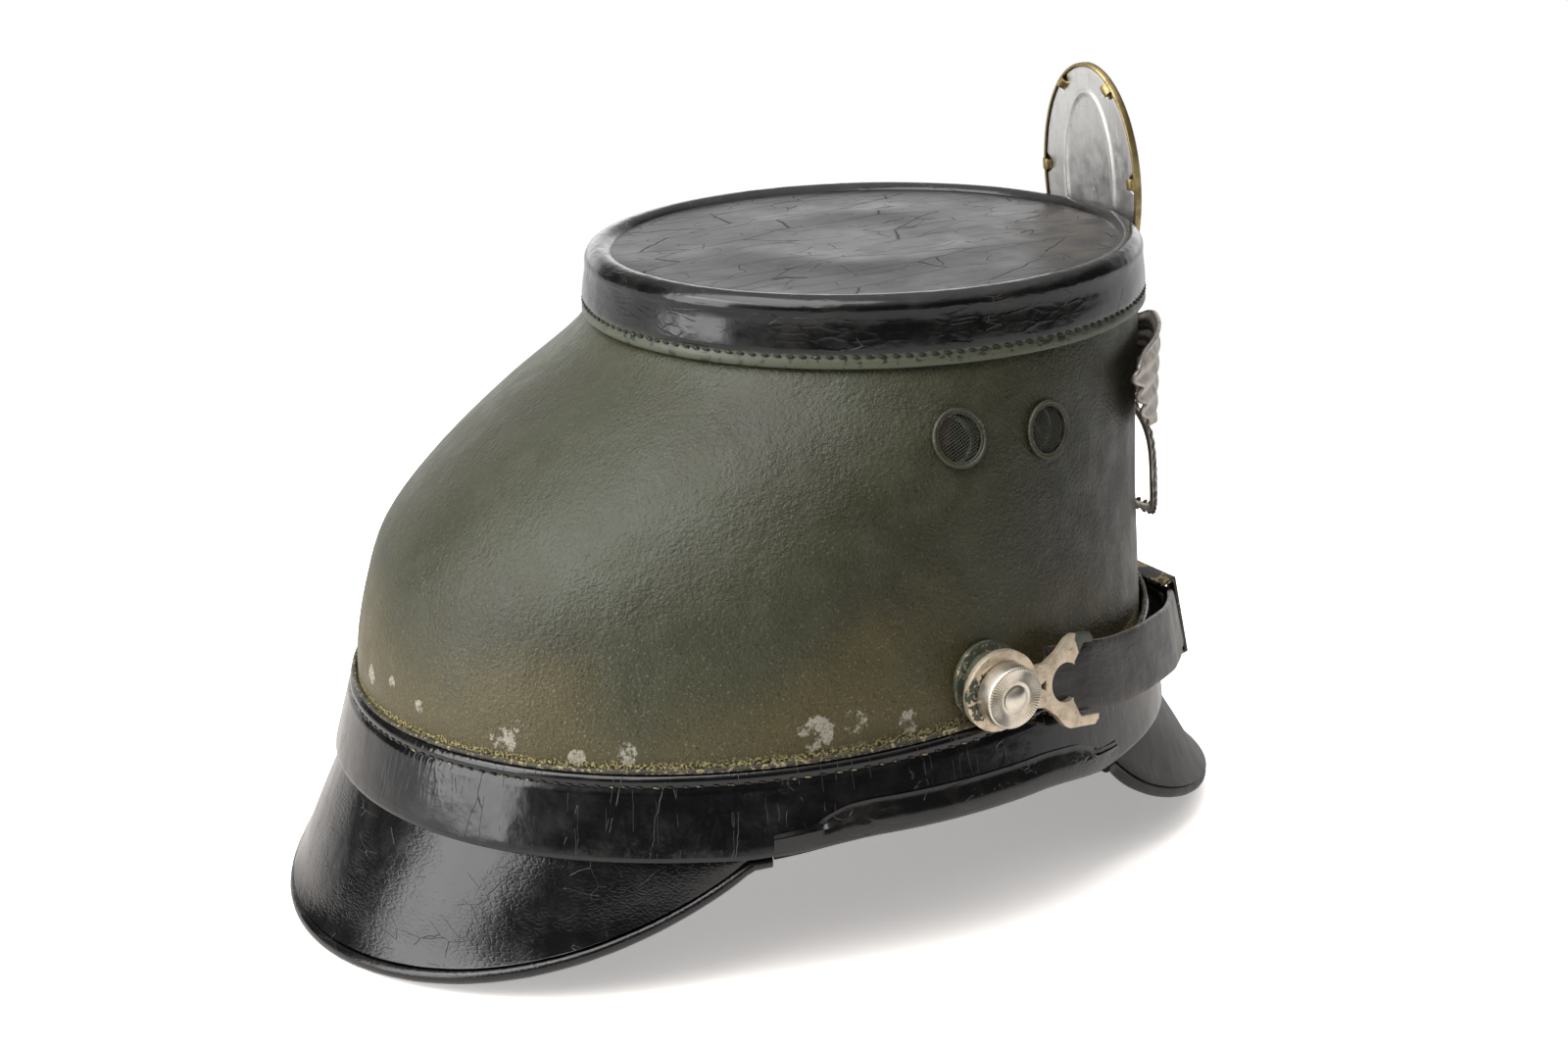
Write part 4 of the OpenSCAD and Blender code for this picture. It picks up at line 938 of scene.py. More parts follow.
def visorPoint(way, angle, r, z):
    nx, ny = math.cos(angle) / hat["baseA"], math.sin(angle) / hat["baseB"]
    size = math.hypot(nx, ny)
    flare = hat["bandFlare"] - 0.25
    x = (hat["baseA"] + flare) * math.cos(angle) + r * nx / size
    y = (hat["baseB"] + flare) * math.sin(angle) + r * ny / size
    return Vector((way * x - hat["baseBack"], y, max(0.0, z)))


def visorRow(form, i):
    u = -1 + 2 * i / (rim["rows"] - 1)
    angle = math.radians(form["end"] * u)
    power, lift, turn = form["fade"]
    wide = visorWidth(form["slope"]) * max(0.0, 1 - abs(u) ** power) ** lift
    slope = math.radians(form["slope"] + turn * u * u)
    return u, angle, bandEdge(angle) - 0.1, max(0.6, wide - 2 * rim["round"]), slope


def visorSheet(form):
    thick = hat["leather"]
    steps = [0, 0.07, 0.16, 0.27, 0.4, 0.54, 0.66, 0.76, 0.83, 0.88, 0.92, 0.95, 0.98, 1]

    def place(i, k):
        u, angle, e, w, slope = visorRow(form, i)
        top = bandOff(angle if form["dir"] > 0 else math.pi - angle, e + rim["flange"]) - hat["bandFlare"]
        c, s = math.cos(slope), math.sin(slope)
        outer = [(top - 0.1, e + rim["flange"])]
        inner = [(top - 0.1 - 0.8 * thick, e + rim["flange"])]
        big = smooth(w / 12)
        for q in steps:
            bulge = 4 * q * (1 - q)
            lift = form["curl"] * big * clamp01(1 - (1 - q) * w / rim["curlLong"]) ** 2
            lap = q ** 8 * form["lap"] * big
            r = (q * w + lap) * c + 0.5 * bulge + lift * s
            z = e - (q * w + lap) * s + 0.3 * bulge + lift * c
            outer.append((r, z))
            inner.append((r - thick * s if q else -thick, z - thick * c if q else e - 0.4 * thick))
        r, z = (outer + inner[::-1])[k]
        return visorPoint(form["dir"], angle, r, z)
    return loftMesh(rim["rows"], 30, place)


def visorRim(form):
    thick = hat["leather"]

    def place(i, k):
        u, angle, e, w, slope = visorRow(form, i)
        m = w + rim["round"] + rim["fit"]
        c, s = math.cos(slope), math.sin(slope)
        f = 2 * math.pi * k / 16
        r = rim["round"] * mix(1, 0.8, smooth((abs(u) - 0.9) / 0.1))
        r *= 1 + 0.03 * wander(i * 0.4, 4, k * 0.2)
        return visorPoint(form["dir"], angle, m * c - thick / 2 * s + r * math.cos(f),
                          e - m * s - thick / 2 * c + r * math.sin(f))
    return loftMesh(rim["rows"], 16, place)


for name, form in visors.items():
    look = name + "Visor"
    makePiece(name + "_visor_leather", visorSheet(form), "hat", look, [name + "_visor"],
              sharp=60)
    makePiece(name + "_visor_rim", visorRim(form), "hat", look, [name + "_visor_edge"],
              sharp=70)
print("visors made")


# Vents
def turnedRing(profile, steps, closed=True, shape=None):
    def place(i, a):
        r, z = shape(i, a, *profile[i]) if shape else profile[i]
        return Vector((r * math.cos(a), r * math.sin(a), z))
    return ringMesh(len(profile), steps, place, closed)


def turnedSolid(profile, steps, shape=None):
    # a lathe form whose profile starts and ends on its axis
    bm = turnedRing(profile, steps, False, shape)
    bmesh.ops.remove_doubles(bm, verts=bm.verts, dist=0.012 * mm)
    return bm


def ventMesh():
    half = vent["mesh"] / 2
    bm = bmesh.new()
    count = round(2 * (half + 0.1) / vent["pitch"])
    bmesh.ops.create_grid(bm, x_segments=count, y_segments=count, size=half + 0.1)
    bmesh.ops.rotate(bm, verts=bm.verts, cent=(0, 0, 0), matrix=Matrix.Rotation(0.45, 3, "Z"))
    bmesh.ops.delete(bm, geom=[v for v in bm.verts if v.co.length > half], context="VERTS")
    for v in bm.verts:
        v.co.z = 0.15 + vent["dome"] * (1 - (v.co.length / half) ** 2)
    bmesh.ops.wireframe(bm, faces=bm.faces, thickness=vent["wire"], use_replace=True, use_boundary=True,
                        use_even_offset=True)
    for v in bm.verts:
        v.co *= mm
    return bm


ringProfile = [(5.5, 0.35), (6.75, 0.35), (7.0, 0.6), (6.95, 0.95), (6.7, 1.25), (6.45, 1.3), (6.25, 1.15),
               (6.1, 0.95), (5.9, 0.95), (5.75, 1.05), (5.55, 0.95), (5.5, 0.7)]
innerProfile = [(5.0, -4.6), (6.9, -4.6), (7.0, -4.4), (7.0, -3.8), (6.8, -3.5), (5.3, -3.5), (5.0, -3.8)]
rings, nets, clinches = [], [], []
for place in ventPlaces:
    forms = turnedRing(ringProfile, 72), ventMesh(), turnedRing(innerProfile, 72)
    for group, form in zip((rings, nets, clinches), forms):
        moved(form, place)
        group += [form, mirrored(form)]
makePiece("vent_ring_paint", joinMeshes(rings), "hat", "greenRing", ["vent_grommets"],
          sharp=70)
makePiece("vent_wire_net", joinMeshes(nets), "hat", "wire", ["vent_meshes"], sharp=30)
makePiece("vent_clinch_rings", joinMeshes(clinches), "hat", "steel", ["vent_rings"], sharp=60)
print("vents made")


# Side posts
def knobPost():
    # barrel, shank and fluted knob in one, drawn along the axis
    barrelLong = post["lugThick"] + 0.6
    knobIn = collarOut + barrelLong
    nutIn = 1.1 * hat["shellWall"] + 0.3
    shankIn = shellSideY(post["x"], post["z"]) - nutIn - 2 - 0.7
    top = knobIn + post["knobLong"] - 0.6
    rs, rb, rk = post["shank"] / 2, post["barrel"] / 2, post["knob"] / 2
    profile = [(0.005, shankIn), (rs - 0.3, shankIn), (rs, shankIn + 0.3), (rs, collarOut),
               (rb - 0.1, collarOut), (rb, collarOut + 0.1), (rb, knobIn), (rk - 0.4, knobIn),
               (rk - 0.1, knobIn + 0.15), (rk, knobIn + 0.5), (rk, top - 0.7), (rk - 0.08, top - 0.35),
               (rk - 0.35, top - 0.08), (rk - 0.7, top), (rk - 1.2, top), (rk - 2.2, top),
               (rk - 3.2, top), (rk - 3.6, top), (3.45, top - 0.12), (3.2, top - 0.12),
               (0.005, top - 0.12)]
    fluteRows = {12: 0.25, 13: 1.0, 14: 1.0, 15: 0.9, 16: 0.7}

    def shape(i, a, r, z):
        if i in fluteRows:
            z -= 0.26 * fluteRows[i] * (0.5 - 0.5 * math.cos(post["flutes"] * a)) ** 0.8
        return r, z
    return turnedSolid(profile, post["flutes"] * 6, shape), top


rightPost, knobTop = knobPost()
moved(rightPost, postPlace)
for side, bm in (("right", rightPost), ("left", mirrored(rightPost))):
    makePiece("knob_post_" + side, bm, "hat", "knob", ["post_" + side], sharp=50)

domeTop, domeRound = knobTop + 1.3, 4.4
domeProfile = [(0.005, knobTop + 0.02), (3.1, knobTop + 0.02), (3.12, knobTop + 0.12)]
for f in range(1, 12):
    g = math.radians(45.2 * (1 - f / 12))
    domeProfile.append((domeRound * math.sin(g), domeTop - domeRound * (1 - math.cos(g))))
domeProfile.append((0.005, domeTop))
dome = moved(turnedSolid(domeProfile, 48), postPlace)
makePiece("knob_dome_caps", joinMeshes([dome, mirrored(dome)]), "hat", "knob", ["knob_domes"])


def keepForm(name, node, body, look, soften=0.2, segments=2):
    # a metal node as it is, with its corners eased
    bm = mergedCopy(node)
    softenEdges(bm, soften, segments)
    makePiece(name, bm, body, look, [node], sharp=35, normals=False)


keepForm("post_washer_discs", "post_washers", "hat", "greenPaint", 0.2)
keepForm("post_collar_discs", "post_collars", "hat", "greenPaint", 0.2)
keepForm("post_nut_hexes", "post_nuts", "hat", "steel", 0.15)
print("posts made")

# Front plate
fan = {"angle": 58.0, "low": 106.4, "top": 131.0, "thick": 1.0, "gap": 3.8, "deep": 0.9, "flutes": 5,
       "dip": 5.5, "shape": [(0, 0.62), (0.12, 0.78), (0.35, 0.88), (0.6, 0.95), (0.84, 1), (1, 0.76)]}


def frontPoint(phi, z, out):
    mid, reach, half, tilt = shellSection(z)
    a = math.radians(phi)
    return Vector((mid + (reach + out) * math.cos(a) - hat["baseBack"], (half + out) * math.sin(a), z))


def frontPlace(phi, z):
    mid, reach, half, tilt = shellSection(z)
    a = math.radians(phi)
    turn = math.atan2(math.sin(a) / half, math.cos(a) / reach)
    return (Matrix.Translation(frontPoint(phi, z, 0) * mm) @ Matrix.Rotation(turn, 4, "Z")
            @ Matrix.Rotation(math.pi / 2, 4, "Y"))


def fanPoint(v, h):
    edge = fan["angle"] * curveAt(fan["shape"], v) + 1.4 * abs(math.sin(math.pi * fan["flutes"] * v)) - 1.4
    phi = edge * (2 * h - 1)
    high = fan["top"] - fan["low"] - fan["dip"] * (1 - smooth((abs(phi) - 10) / 18))
    wave = (0.5 + 0.5 * math.cos(2 * math.pi * fan["flutes"] * v)) ** 0.7
    relief = fan["deep"] * wave * smooth((abs(phi) - 13) / 8)
    return frontPoint(phi, fan["low"] + v * high, fan["gap"] + fan["thick"] + relief)


def frontFan():
    front = sheetMesh(80, 72, fanPoint)
    outward = front.faces[:][len(front.faces) // 2]
    outward.normal_update()
    if outward.normal.x < 0:
        bmesh.ops.reverse_faces(front, faces=front.faces)
    return front


plate = makePiece("front_fan_plate", frontFan(), "hat", "plate", ["front_plate"],
                  normals=False)
wall = plate.modifiers.new("wall", "SOLIDIFY")
wall.thickness = fan["thick"] * mm
wall.offset = -1
wreath = {"angle": 33.0, "z": 89.0, "high": 14.6, "out": 4.4, "leaves": 46, "core": 0.95}


def wreathPoint(s, k=1.0, lift=0.0):
    phi = wreath["angle"] * (1 + 0.5 * (k - 1)) * math.cos(s)
    return frontPoint(phi, wreath["z"] + wreath["high"] * k * math.sin(s), wreath["out"] + lift)


def leafyRing():
    def corePoint(i, a):
        t, core = math.pi * i / 5, wreath["core"]
        return wreathPoint(a, 1 + core * math.cos(t) / wreath["high"], core * 0.9 * math.sin(t))
    leaves = bmesh.new()
    for n in range(wreath["leaves"]):
        way = 1 if n < wreath["leaves"] / 2 else -1
        for lane in (-1, 0, 1):
            s = -math.pi / 2 + 2 * math.pi * (n + 0.33 * lane * way) / wreath["leaves"]
            here, ahead, out = wreathPoint(s), wreathPoint(s + 0.02 * way), wreathPoint(s, 1, 1)
            along = (ahead - here).normalized()
            out = (out - here).normalized()
            side = out.cross(along).normalized()
            root = here + side * lane * 0.8 + out * (0.75 - 0.25 * abs(lane))
            along = (along + side * lane * 0.45 + out * 0.16).normalized()
            side = out.cross(along).normalized()
            up = along.cross(side).normalized()
            turn = Matrix((along, side, up)).transposed().to_4x4()
            place = Matrix.Translation(root * mm) @ millimetres @ turn @ Matrix.Diagonal((2.1, 0.85, 0.42, 1))
            bmesh.ops.create_uvsphere(leaves, u_segments=8, v_segments=5, radius=1, matrix=place)
    return joinMeshes([ringMesh(10, 120, corePoint), leaves])


makePiece("leaf_garland", leafyRing(), "hat", "plate", ["plate_wreath"], sharp=60)
bossUp = fan["gap"] + fan["thick"] + 0.35
bossRise = [(0.005, 0.0), (8.2, 0.0), (8.5, 0.25), (8.45, 0.7), (8.1, 0.98), (7.2, 0.9), (6.8, 1.1),
            (6.75, 1.7), (6.5, 1.98), (5.9, 1.98), (5.4, 1.7), (5.1, 1.9), (4.6, 2.5), (3.6, 2.85),
            (2.0, 2.98), (0.005, 3.0)]
boss = moved(turnedSolid([(r, bossUp + z) for r, z in bossRise], 72), frontPlace(0, fan["low"] + 10))
makePiece("plate_button", boss, "hat", "plate", ["plate_boss"], sharp=50)
keepForm("plate_stud_shanks", "plate_studs", "hat", "plate", 0.2)
keepForm("plate_stud_nuts", "plate_nuts", "hat", "brass", 0.15)
print("front plate made")

# Chinstrap
strap = {"wide": 16.8, "thick": 1.8, "front": 113.8, "run": 28.5, "z": 43.6, "lean": 13.0, "neck": 9.0,
         "turn": 8.0, "forkLean": 9.0, "forkEnd": 31.0, "start": 16.0, "slope": 7.5, "substeps": 7}
lugMid = collarOut + 0.3 + post["lugThick"] / 2
strapIn = post["lugThick"] / 2 + hat["fit"] + strap["thick"] / 2
layerStep = strap["thick"] + hat["fit"]


def forkPoint(u):
    r = u - strap["neck"]
    t, s = math.radians(strap["turn"]), math.radians(strap["slope"])
    return (post["x"] + strap["neck"] + r * math.cos(t) - strapIn * math.sin(t),
            lugMid - r * math.sin(t) - strapIn * math.cos(t), post["z"] - u * math.sin(s), strap["forkLean"])


def strapPath(layer):
    a, b, f, n = hat["baseA"], hat["baseB"], strap["front"], strap["run"]
    knots = [forkPoint(strap["start"]), forkPoint(24), forkPoint(strap["forkEnd"]),
             (a - 53, b - 4.8, 59.6, 10), (a - 41, b - 10.2, 57.9, 10), (a - 30, b - 17.2, 56, 10),
             (a - 19, b - 25.4, 53.6, 10.5), (f - 21, b - 34, 50.9, 11), (f - 12.5, n + 14.5, 48.1, 12),
             (f - 4.6, n + 5.3, strap["z"] + 1.7, strap["lean"])]
    knots = [Vector(k) for k in knots]

    def step(i):
        before, after = max(0, i - 1), min(len(knots) - 1, i + 1)
        return (knots[after] - knots[before]) / (after - before)
    path = []
    for i in range(len(knots) - 1):
        for k in range(strap["substeps"]):
            path.append(hermite(knots[i], knots[i + 1], step(i), step(i + 1), k / strap["substeps"]))
    path.append(knots[-1])
    lean = math.radians(strap["lean"])
    x = f - layer * layerStep * math.cos(lean)
    z = strap["z"] - layer * layerStep * math.sin(lean)
    path.append([x - 1.0, n + 1.6, z + 0.25, strap["lean"]])
    for y in (n - 1, n - 6, n - 14, n - 22, 0, -10, -18, 3.2 - n, 1.5 - n, 0.6 - n):
        path.append([x, y, z, strap["lean"]])
    return [Vector((p[0] - hat["baseBack"], p[1], p[2], p[3])) for p in reversed(path)]


def strapHalf(layer):
    path = strapPath(layer)
    half, thick = strap["wide"] / 2, strap["thick"] / 2
    across = [1.0, 0.985, 0.94, 0.8, 0.55, 0.28, 0.0, -0.28, -0.55, -0.8, -0.94, -0.985]
    section = [(face * (w != 1.0), face * w) for face in (1, -1) for w in across]
    endWide = (0.72, 0.9, 0.98)

    def place(i, k):
        p = path[i]
        d = path[min(len(path) - 1, i + 1)] - path[max(0, i - 1)]
        inward = Vector((-d.y, d.x, 0)) / math.hypot(d.x, d.y)
        a = math.radians(p.w)
        u = inward * math.cos(a) - Vector((0, 0, math.sin(a)))
        v = Vector((0, 0, math.cos(a))) + inward * math.sin(a)
        deep, w = section[k]
        edge = 1 - smooth((abs(w) - 0.88) / 0.12) * 0.45
        crown = 0.04 * (1 - w * w)
        q = deep * thick * (edge - (0.04 - crown))
        return Vector(p[:3]) + u * q + v * (w * half * (endWide[i] if i < 3 else 1.0))
    bm = loftMesh(len(path), len(section), place)
    # its borders, most worn at the lower edge near the lug
    worn = bm.verts.layers.float.new("edge")
    for v in bm.verts:
        p = v.co / mm
        near = min(path, key=lambda q: (q.x - p.x) ** 2 + (q.y - p.y) ** 2)
        rise = (p.z - near.z) / (strap["wide"] / 2)
        start = smooth((62 - (near.x + hat["baseBack"])) / 26)
        low = smooth((-rise - 0.72) / 0.25) * mix(0.5, 1.2, start)
        v[worn] = clamp01(low + 0.6 * smooth((rise - 0.88) / 0.1))
    return bm


for side, bm in (("right", mirrored(strapHalf(0))), ("left", strapHalf(1))):
    makePiece("strap_leather_" + side, bm, "chinstrap", "strap", ["strap_" + side], sharp=60)
for side in ("right", "left"):
    keepForm("lug_plate_" + side, "lug_" + side, "chinstrap", "lug", 0.25, 3)
keepForm("strap_pin_rivets", "strap_pins", "chinstrap", "brass", 0.1)
slider = {"wide": 20.0, "high": 23.4, "rim": 3.4, "thick": 1.1, "deep": 5.2, "lean": 14.5, "out": 2.1,
          "bar": 1.6, "at": 18.0}


def sliderFrame():
    # a face frame with its top and bottom turned back past the strap, and a back bar
    w, h, r = slider["wide"] / 2, slider["high"] / 2, slider["rim"]
    bm = bmesh.new()
    bmesh.ops.create_grid(bm, x_segments=3, y_segments=3, size=1)
    across, upward = (-w, r - w, w - r, w), (-h, r * 0.8 - h, h - r * 0.8, h)
    for v in bm.verts:
        v.co = Vector((0, across[round((v.co.x + 1) * 1.5)], upward[round((v.co.y + 1) * 1.5)]))
    middle = min(bm.faces, key=lambda f: f.calc_center_median().length)
    bmesh.ops.delete(bm, geom=[middle], context="FACES")
    ends = [e for e in bm.edges if e.is_boundary and all(abs(abs(v.co.z) - h) < 1e-4 for v in e.verts)
            and all(abs(v.co.y) < w + 1e-4 for v in e.verts)]
    extruded(bm, ends, (-slider["deep"], 0, 0))
    bmesh.ops.recalc_face_normals(bm, faces=bm.faces)
    front = max(bm.faces, key=lambda f: f.calc_center_median().x)
    if front.normal.x < 0:
        bmesh.ops.reverse_faces(bm, faces=bm.faces)
    bmesh.ops.solidify(bm, geom=list(bm.faces), thickness=slider["thick"])
    bar = bmesh.new()
    bmesh.ops.create_cube(bar, size=1, matrix=Matrix.Translation((-slider["deep"] + slider["bar"] / 2, 0, 0))
                          @ Matrix.Diagonal((slider["bar"] * 0.7, slider["bar"], slider["high"] - 1.0, 1)))
    whole = joinMeshes([bm, bar])
    softenEdges(whole, 0.28 / mm, 3, 40)
    at = (strap["front"] - hat["baseBack"] + slider["out"] + 0.9, -slider["at"], strap["z"])
    lean = Matrix.Rotation(-math.radians(slider["lean"]), 4, "Y")
    return moved(whole, millimetres @ Matrix.Translation(at) @ lean)


rightSlider = sliderFrame()
for side, bm in (("right", rightSlider), ("left", mirrored(rightSlider))):
    makePiece("slider_frame_" + side, bm, side + " slider", "slider", ["slider_" + side], sharp=40)
print("chinstrap made")

# Cockade
cockade = {"high": 61.0, "wide": 38.6, "low": 128.6, "lean": 6.0, "back": 0.9, "dish": 4.6, "archWide": 10.3,
           "archHigh": 23.6}
leanZ = discZ + 2
footZ = hat["crownLow"] - 2.2
crownFront = hat["crownForward"] + hat["crownA"]
leanX = max(crownFront - hat["leanA"] + 0.6,
            crownFront + 0.3 + 1.3 - (leanZ - footZ) * math.tan(math.radians(cockade["lean"])))
midDown = leanZ - (cockade["low"] + cockade["high"] / 2)
cockadePlace = (Matrix.Translation(Vector((leanX - hat["baseBack"], 0, leanZ)) * mm)
                @ Matrix.Rotation(math.radians(90 - cockade["lean"]), 4, "Y"))


def ovalForm(rows, steps, shape=None, drawn=None):
    # rows of half width, half height and level round the cockade's middle
    def place(i, a):
        w, h, z = rows[i]
        if shape:
            z = shape(i, a, z)
        if drawn:
            w -= drawn(i, a)
            h -= drawn(i, a)
        return Vector((midDown - h * math.sin(a), w * math.cos(a), z))
    bm = ringMesh(len(rows), steps, place, closed=False)
    bmesh.ops.remove_doubles(bm, verts=bm.verts, dist=0.03 * mm)
    return moved(bm, cockadePlace)


def insets(*steps):
    # outlines drawn in from the cockade's edge by so much, each at its level
    return [(cockade["wide"] / 2 - d, cockade["high"] / 2 - d, z) for d, z in steps]


prongs = {"at": (58, 3, -52, 122, 177, 232), "cut": 2.5, "wide": 3.0, "curl": 1.25, "thick": 0.45}


def prongCut(a):
    # how far the back sheet's edge draws in round a prong
    w, h = cockade["wide"] / 2, cockade["high"] / 2
    cut = 0.0
    for t in prongs["at"]:
        t = math.radians(t)
        away = math.hypot(w * (math.cos(a) - math.cos(t)), h * (math.sin(a) - math.sin(t)))
        cut = max(cut, math.sqrt(max(0.0, prongs["cut"] ** 2 - away ** 2)))
    return cut


def backPlate():
    aw, ah, thick = cockade["archWide"], cockade["archHigh"], cockade["back"]
    rows = [(0.01, 0.01, 0.0), (aw - 5, ah - 6, 0.0)]
    rows += [(aw + d, ah + d, z) for d, z in ((-2.2, 0.0), (-1.5, -0.06), (-1.0, -0.28), (-0.6, -0.36),
                                              (-0.2, -0.28), (0.3, -0.06), (1.0, 0.0))]
    rows += insets((4.2, 0.0), (2.0, 0.02), (1.2, 0.05), (0.95, 0.15), (0.9, 0.4), (0.9, thick), (4.2, thick))
    rows.append((0.01, 0.01, thick))
    return ovalForm(rows, 480, None, lambda i, a: prongCut(a) if 10 <= i <= 14 else 0.0)


def curledProngs():
    # tabs of the front dish, bent through the cut outs and rolled down on the back sheet
    parts = []
    w, h, r = cockade["wide"] / 2, cockade["high"] / 2, prongs["curl"]
    sides = (1, 1, 0.6, 0.2, -0.2, -0.6, -1, -1, -0.6, -0.2, 0.2, 0.6)
    faces = (1, -1, -1, -1, -1, -1, -1, 1, 1, 1, 1, 1)
    path = [(-0.45, 0.6), (-0.5, 0.0)]
    for f in range(0, 191, 19):
        g = math.radians(f)
        path.append((-0.5 - r + r * math.cos(g), -0.25 - r * 0.8 * math.sin(g)))
    path.append((-0.5 - 1.9 * r, 0.12))
    for t in prongs["at"]:
        t = math.radians(t)
        root = Vector((midDown - h * math.sin(t), w * math.cos(t), 0))
        out = Vector((-w * math.sin(t), h * math.cos(t), 0)).normalized()
        along = Vector((-out.y, out.x, 0))

        def place(i, k, root=root, out=out, along=along):
            here = Vector(path[i])
            way = Vector(path[min(len(path) - 1, i + 1)]) - Vector(path[max(0, i - 1)])
            normal = Vector((way.y, -way.x)).normalized()
            q = i / (len(path) - 1)
            half = prongs["wide"] / 2 * (0.75 + 0.25 * math.sin(math.pi * min(1, q * 1.15)))
            p = here + normal * faces[k] * prongs["thick"] / 2 * (1.1 if abs(sides[k]) < 1 else 0.7)
            return root + out * p.x + along * sides[k] * half + Vector((0, 0, p.y))
        parts.append(loftMesh(len(path), 12, place))
    return moved(joinMeshes(parts), cockadePlace)


def frontDish():
    deep = cockade["back"] + cockade["dish"]
    rows = insets((0.85, -0.3), (0.6, -0.4), (0.25, -0.38), (0.0, -0.1), (0.0, 1.4), (0.3, 1.8), (1.0, 1.9),
                  (1.9, 1.8), (2.4, 2.2), (2.8, 3.4), (3.2, 3.9), (4.2, 4.05), (5.0, 4.2), (5.5, 4.8),
                  (5.9, 5.35), (6.6, deep), (9.0, deep), (12, deep), (16, deep))
    rows += [(0.02, 10.0, deep), (0.02, 10.0, deep - 0.2)]
    rows += insets((16, deep - 0.2), (6.8, deep - 0.2), (6.6, 2.0), (3.0, 1.0), (0.85, 0.95))
    return ovalForm(rows, 160, lambda i, a, z: z - 0.22 * (0.5 - 0.5 * math.cos(40 * a)) * (9 <= i <= 13))


def cockadeButton():
    rows = [(0.02, 10.0, 5.55)] + insets((9.7, 5.55), (9.5, 5.75), (9.6, 6.15), (10.0, 6.35), (11.5, 6.35),
                                         (12.6, 6.45), (13.1, 6.8), (13.7, 7.0), (15.0, 7.05))
    return ovalForm(rows + [(0.02, 10.0, 7.05)], 96)


makePiece("cockade_back_sheet", backPlate(), "cockade", "cockade", ["cockade_back"], sharp=50)
makePiece("cockade_dish", frontDish(), "cockade", "brass", ["cockade_front"], sharp=50)
makePiece("cockade_button", cockadeButton(), "cockade", "brass", ["cockade_boss"], sharp=50)
makePiece("cockade_curled_tabs", curledProngs(), "cockade", "brass", ["cockade_prongs"], sharp=60)
keepForm("cockade_spike_blade", "cockade_spike", "cockade", "steel", 0.15)
keepForm("cockade_pocket_leather", "cockade_pocket", "hat", "binding", 0.2)
print("cockade made")

# Lining
lining = {"in": 6.4, "low": 42.0, "high": 38.0, "feltThick": 3.2, "tongues": 8, "tongueTop": 117.0,
          "tongueThick": 1.2, "tongueLean": 24}


def sweatband():
    o, low, top, joint = lining["in"], lining["low"], lining["low"] + lining["high"], hat["straightTo"] + 4
    rows = [(0, low + 0.3), (0, joint), (0, 62), (0, 70), (0, top - 1), (0.15, top - 0.2), (0.6, top),
            (1.05, top - 0.2), (1.2, top - 1), (1.2, 70), (1.2, 62), (1.2, joint), (1.2, low + 0.3),
            (0.6, low)]

    def place(i, a):
        off, z = rows[i]
        off += o + 0.25 * (1 + wander(3 * math.cos(a), 3 * math.sin(a), z * 0.05)) * smooth((z - 60) / 20)
        if z < joint + 0.01:
            return basePoint(a, -off, z)
        mid, reach, half, tilt = shellSection(z + 2)
        return Vector((mid + (reach - off) * math.cos(a) - hat["baseBack"], (half - off) * math.sin(a), z))
    return ringMesh(len(rows), 144, place)


def feltRing():
    t = lining["feltThick"]
    o = lining["in"] - t - 0.2
    z0, z1 = hat["shellLow"] + 2, hat["straightTo"] + 1
    rows = [(o, z0 + 0.5), (o, z1 - 0.5), (o + 0.5, z1), (o + t - 0.5, z1), (o + t, z1 - 0.5),
            (o + t, z0 + 0.5), (o + t - 0.5, z0), (o + 0.5, z0)]
    return ringMesh(len(rows), 120, lambda i, a: basePoint(a, -rows[i][0], rows[i][1]))


def tongueSheets():
    sheets = []
    low, pitch = lining["low"] + lining["high"] + 0.3, 2 * math.pi / lining["tongues"]
    for n in range(lining["tongues"]):
        def place(i, k, mid=(n + 0.5) * pitch):
            q = i / 20
            z = mix(low, lining["tongueTop"], q)
            half = mix(0.44, 0.3, q) * pitch * math.sqrt(max(0.02, 1 - smooth((q - 0.8) / 0.2) ** 2 * 0.75))
            side, deep = (k / 4 - 1, 0) if k < 9 else (1 - (k - 9) / 4, 1)
            off = lining["in"] + lining["tongueLean"] * q * q + deep * lining["tongueThick"]
            off += 0.3 * (1 - side * side) * smooth(q * 3)
            m, reach, wide, tilt = shellSection(z + 4)
            a = mid + side * half
            return Vector((m + (reach - off) * math.cos(a) - hat["baseBack"], (wide - off) * math.sin(a), z))
        sheets.append(loftMesh(21, 18, place))
    return joinMeshes(sheets)


makePiece("sweatband_leather", sweatband(), "hat", "lining", ["sweatband"], sharp=60)
makePiece("felt_backing", feltRing(), "hat", "felt", ["felt_strip"], sharp=60)
makePiece("lining_tongues", tongueSheets(), "hat", "lining", ["liner_tongues"], sharp=60)
print("lining made")

# Floor, light and camera
ground = {"radius": 14, "color": "#F4ECE5", "lift": (1.9, 1.8, 1.72, 1.0), "fadeFrom": 0.22,
          "fadeTo": 0.5, "near": 0.36}
sheet = bmesh.new()
bmesh.ops.create_circle(sheet, cap_ends=True, segments=96, radius=ground["radius"])
floor = asObject("studio floor", sheet)
paper, shader, where = newMaterial("white paper sweep", 0.7)
tree = paper.node_tree
shader.inputs["Base Color"].default_value = linear(ground["color"])
shader.inputs["Specular IOR Level"].default_value = 0.2
rays = put("LightPath", tree=tree).outputs
seen = sums("ADD", rays["Is Camera Ray"], rays["Is Glossy Ray"])
seen = sums("ADD", seen, rays["Is Transmission Ray"], True)
xyz = put("SeparateXYZ", {0: where}).outputs
flat = put("CombineXYZ", {0: xyz[0], 1: xyz[1]}).outputs[0]
reach = put("VectorMath", {0: flat}, operation="LENGTH").outputs["Value"]
farOff = times(between(reach, ground["fadeFrom"], ground["fadeTo"], ground["near"], 1.0), seen)
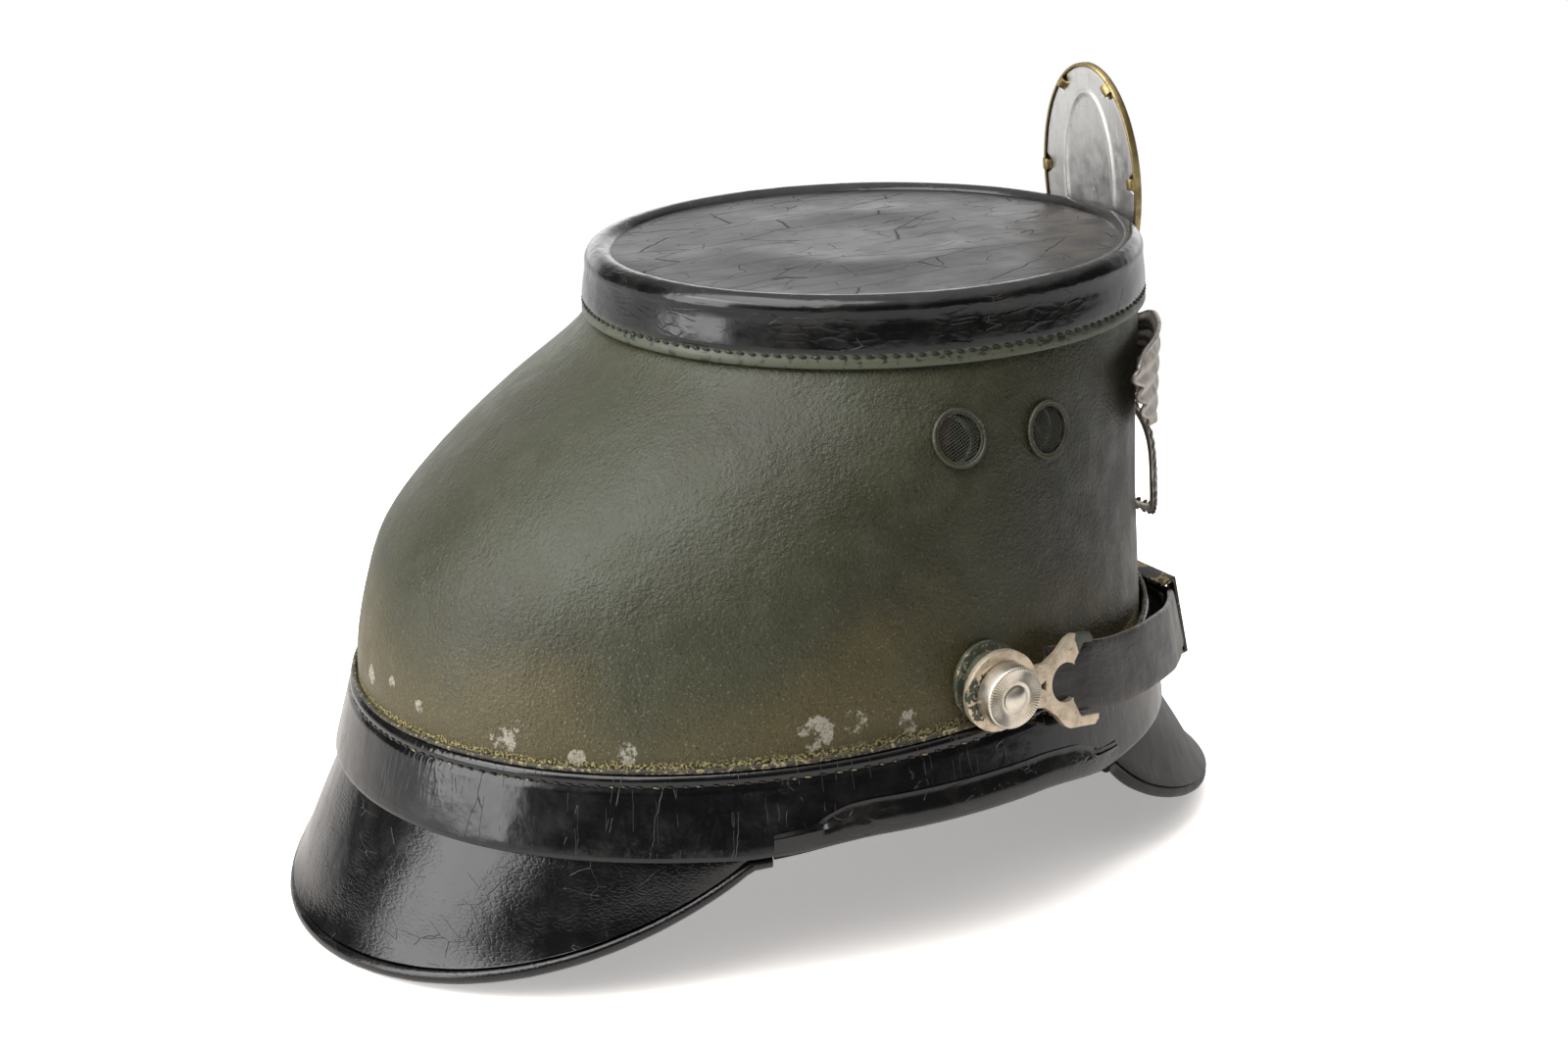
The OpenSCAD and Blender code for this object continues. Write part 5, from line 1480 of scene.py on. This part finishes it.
glow = put("Emission", {"Color": (1, 1, 1, 1), "Strength": 1.0}, tree).outputs[0]
# what the camera alone sees: a paper so pale that only the shadow on it is under white
lifted = put("BsdfDiffuse", {"Color": ground["lift"]}, tree).outputs[0]
lifted = put("AddShader", {0: shader.outputs[0], 1: lifted}).outputs[0]
lifted = put("MixShader", {0: rays["Is Camera Ray"], 1: shader.outputs[0], 2: lifted}).outputs[0]
blend = put("MixShader", {0: farOff, 1: lifted, 2: glow}).outputs[0]
tree.links.new(blend, tree.nodes["Material Output"].inputs["Surface"])
floor.data.materials.append(paper)

# a dim room with a pale ceiling and a pale wall behind the hat, the same for every ray
room = {"dark": 0.06, "ceiling": 1.0, "wall": 1.9, "wallWay": 57.0}
world = bpy.data.worlds.new("studio")
bpy.context.scene.world = world
world.use_nodes = True
background = world.node_tree.nodes["Background"].inputs
way = put("TexCoord", tree=world.node_tree).outputs["Generated"]
up = put("SeparateXYZ", {0: way}).outputs[2]
turn = math.radians(room["wallWay"])
facing = put("VectorMath", {0: way, 1: (math.cos(turn), math.sin(turn), 0.0)},
             operation="DOT_PRODUCT").outputs["Value"]
ceiling = between(up, 0.5, 0.95, 0.0, room["ceiling"])
wall = times(between(facing, 0.55, 0.9), between(up, 0.2, 0.42, 1.0, 0.2), room["wall"])
level = sums("ADD", sums("ADD", ceiling, wall), room["dark"])
background["Color"].default_value = (1.0, 1.0, 1.0, 1.0)
world.node_tree.links.new(level, background["Strength"])

lamps = {
    "left softbox": {"at": (-1.22, 0.14, 0.52), "size": (0.8, 1.1), "power": 15.0},
    "top softbox": {"at": (-0.8, -0.1, 1.5), "size": (1.5, 1.5), "power": 30.0},
}
for name, form in lamps.items():
    data = bpy.data.lights.new(name, "AREA")
    data.shape = "RECTANGLE"
    data.size, data.size_y = form["size"]
    data.energy = form["power"]
    lamp = bpy.data.objects.new(name, data)
    lamp.location = form["at"]
    lamp.rotation_euler = (Vector((0, 0, 0.08)) - lamp.location).to_track_quat("-Z", "Y").to_euler()
    bpy.context.scene.collection.objects.link(lamp)

view = {"at": (-0.3104, -0.5129, 0.2814), "turn": (math.pi / 2 - 0.322, 0.0, -0.551), "lens": 57.61}
camera = bpy.data.objects.new("camera", bpy.data.cameras.new("camera"))
camera.location = view["at"]
camera.rotation_euler = view["turn"]
camera.data.lens = view["lens"]
camera.data.sensor_width = 36.0
camera.data.clip_end = 60.0
bpy.context.scene.collection.objects.link(camera)
bpy.context.scene.camera = camera
bpy.context.scene.view_settings.view_transform = "Standard"

print("scene made")
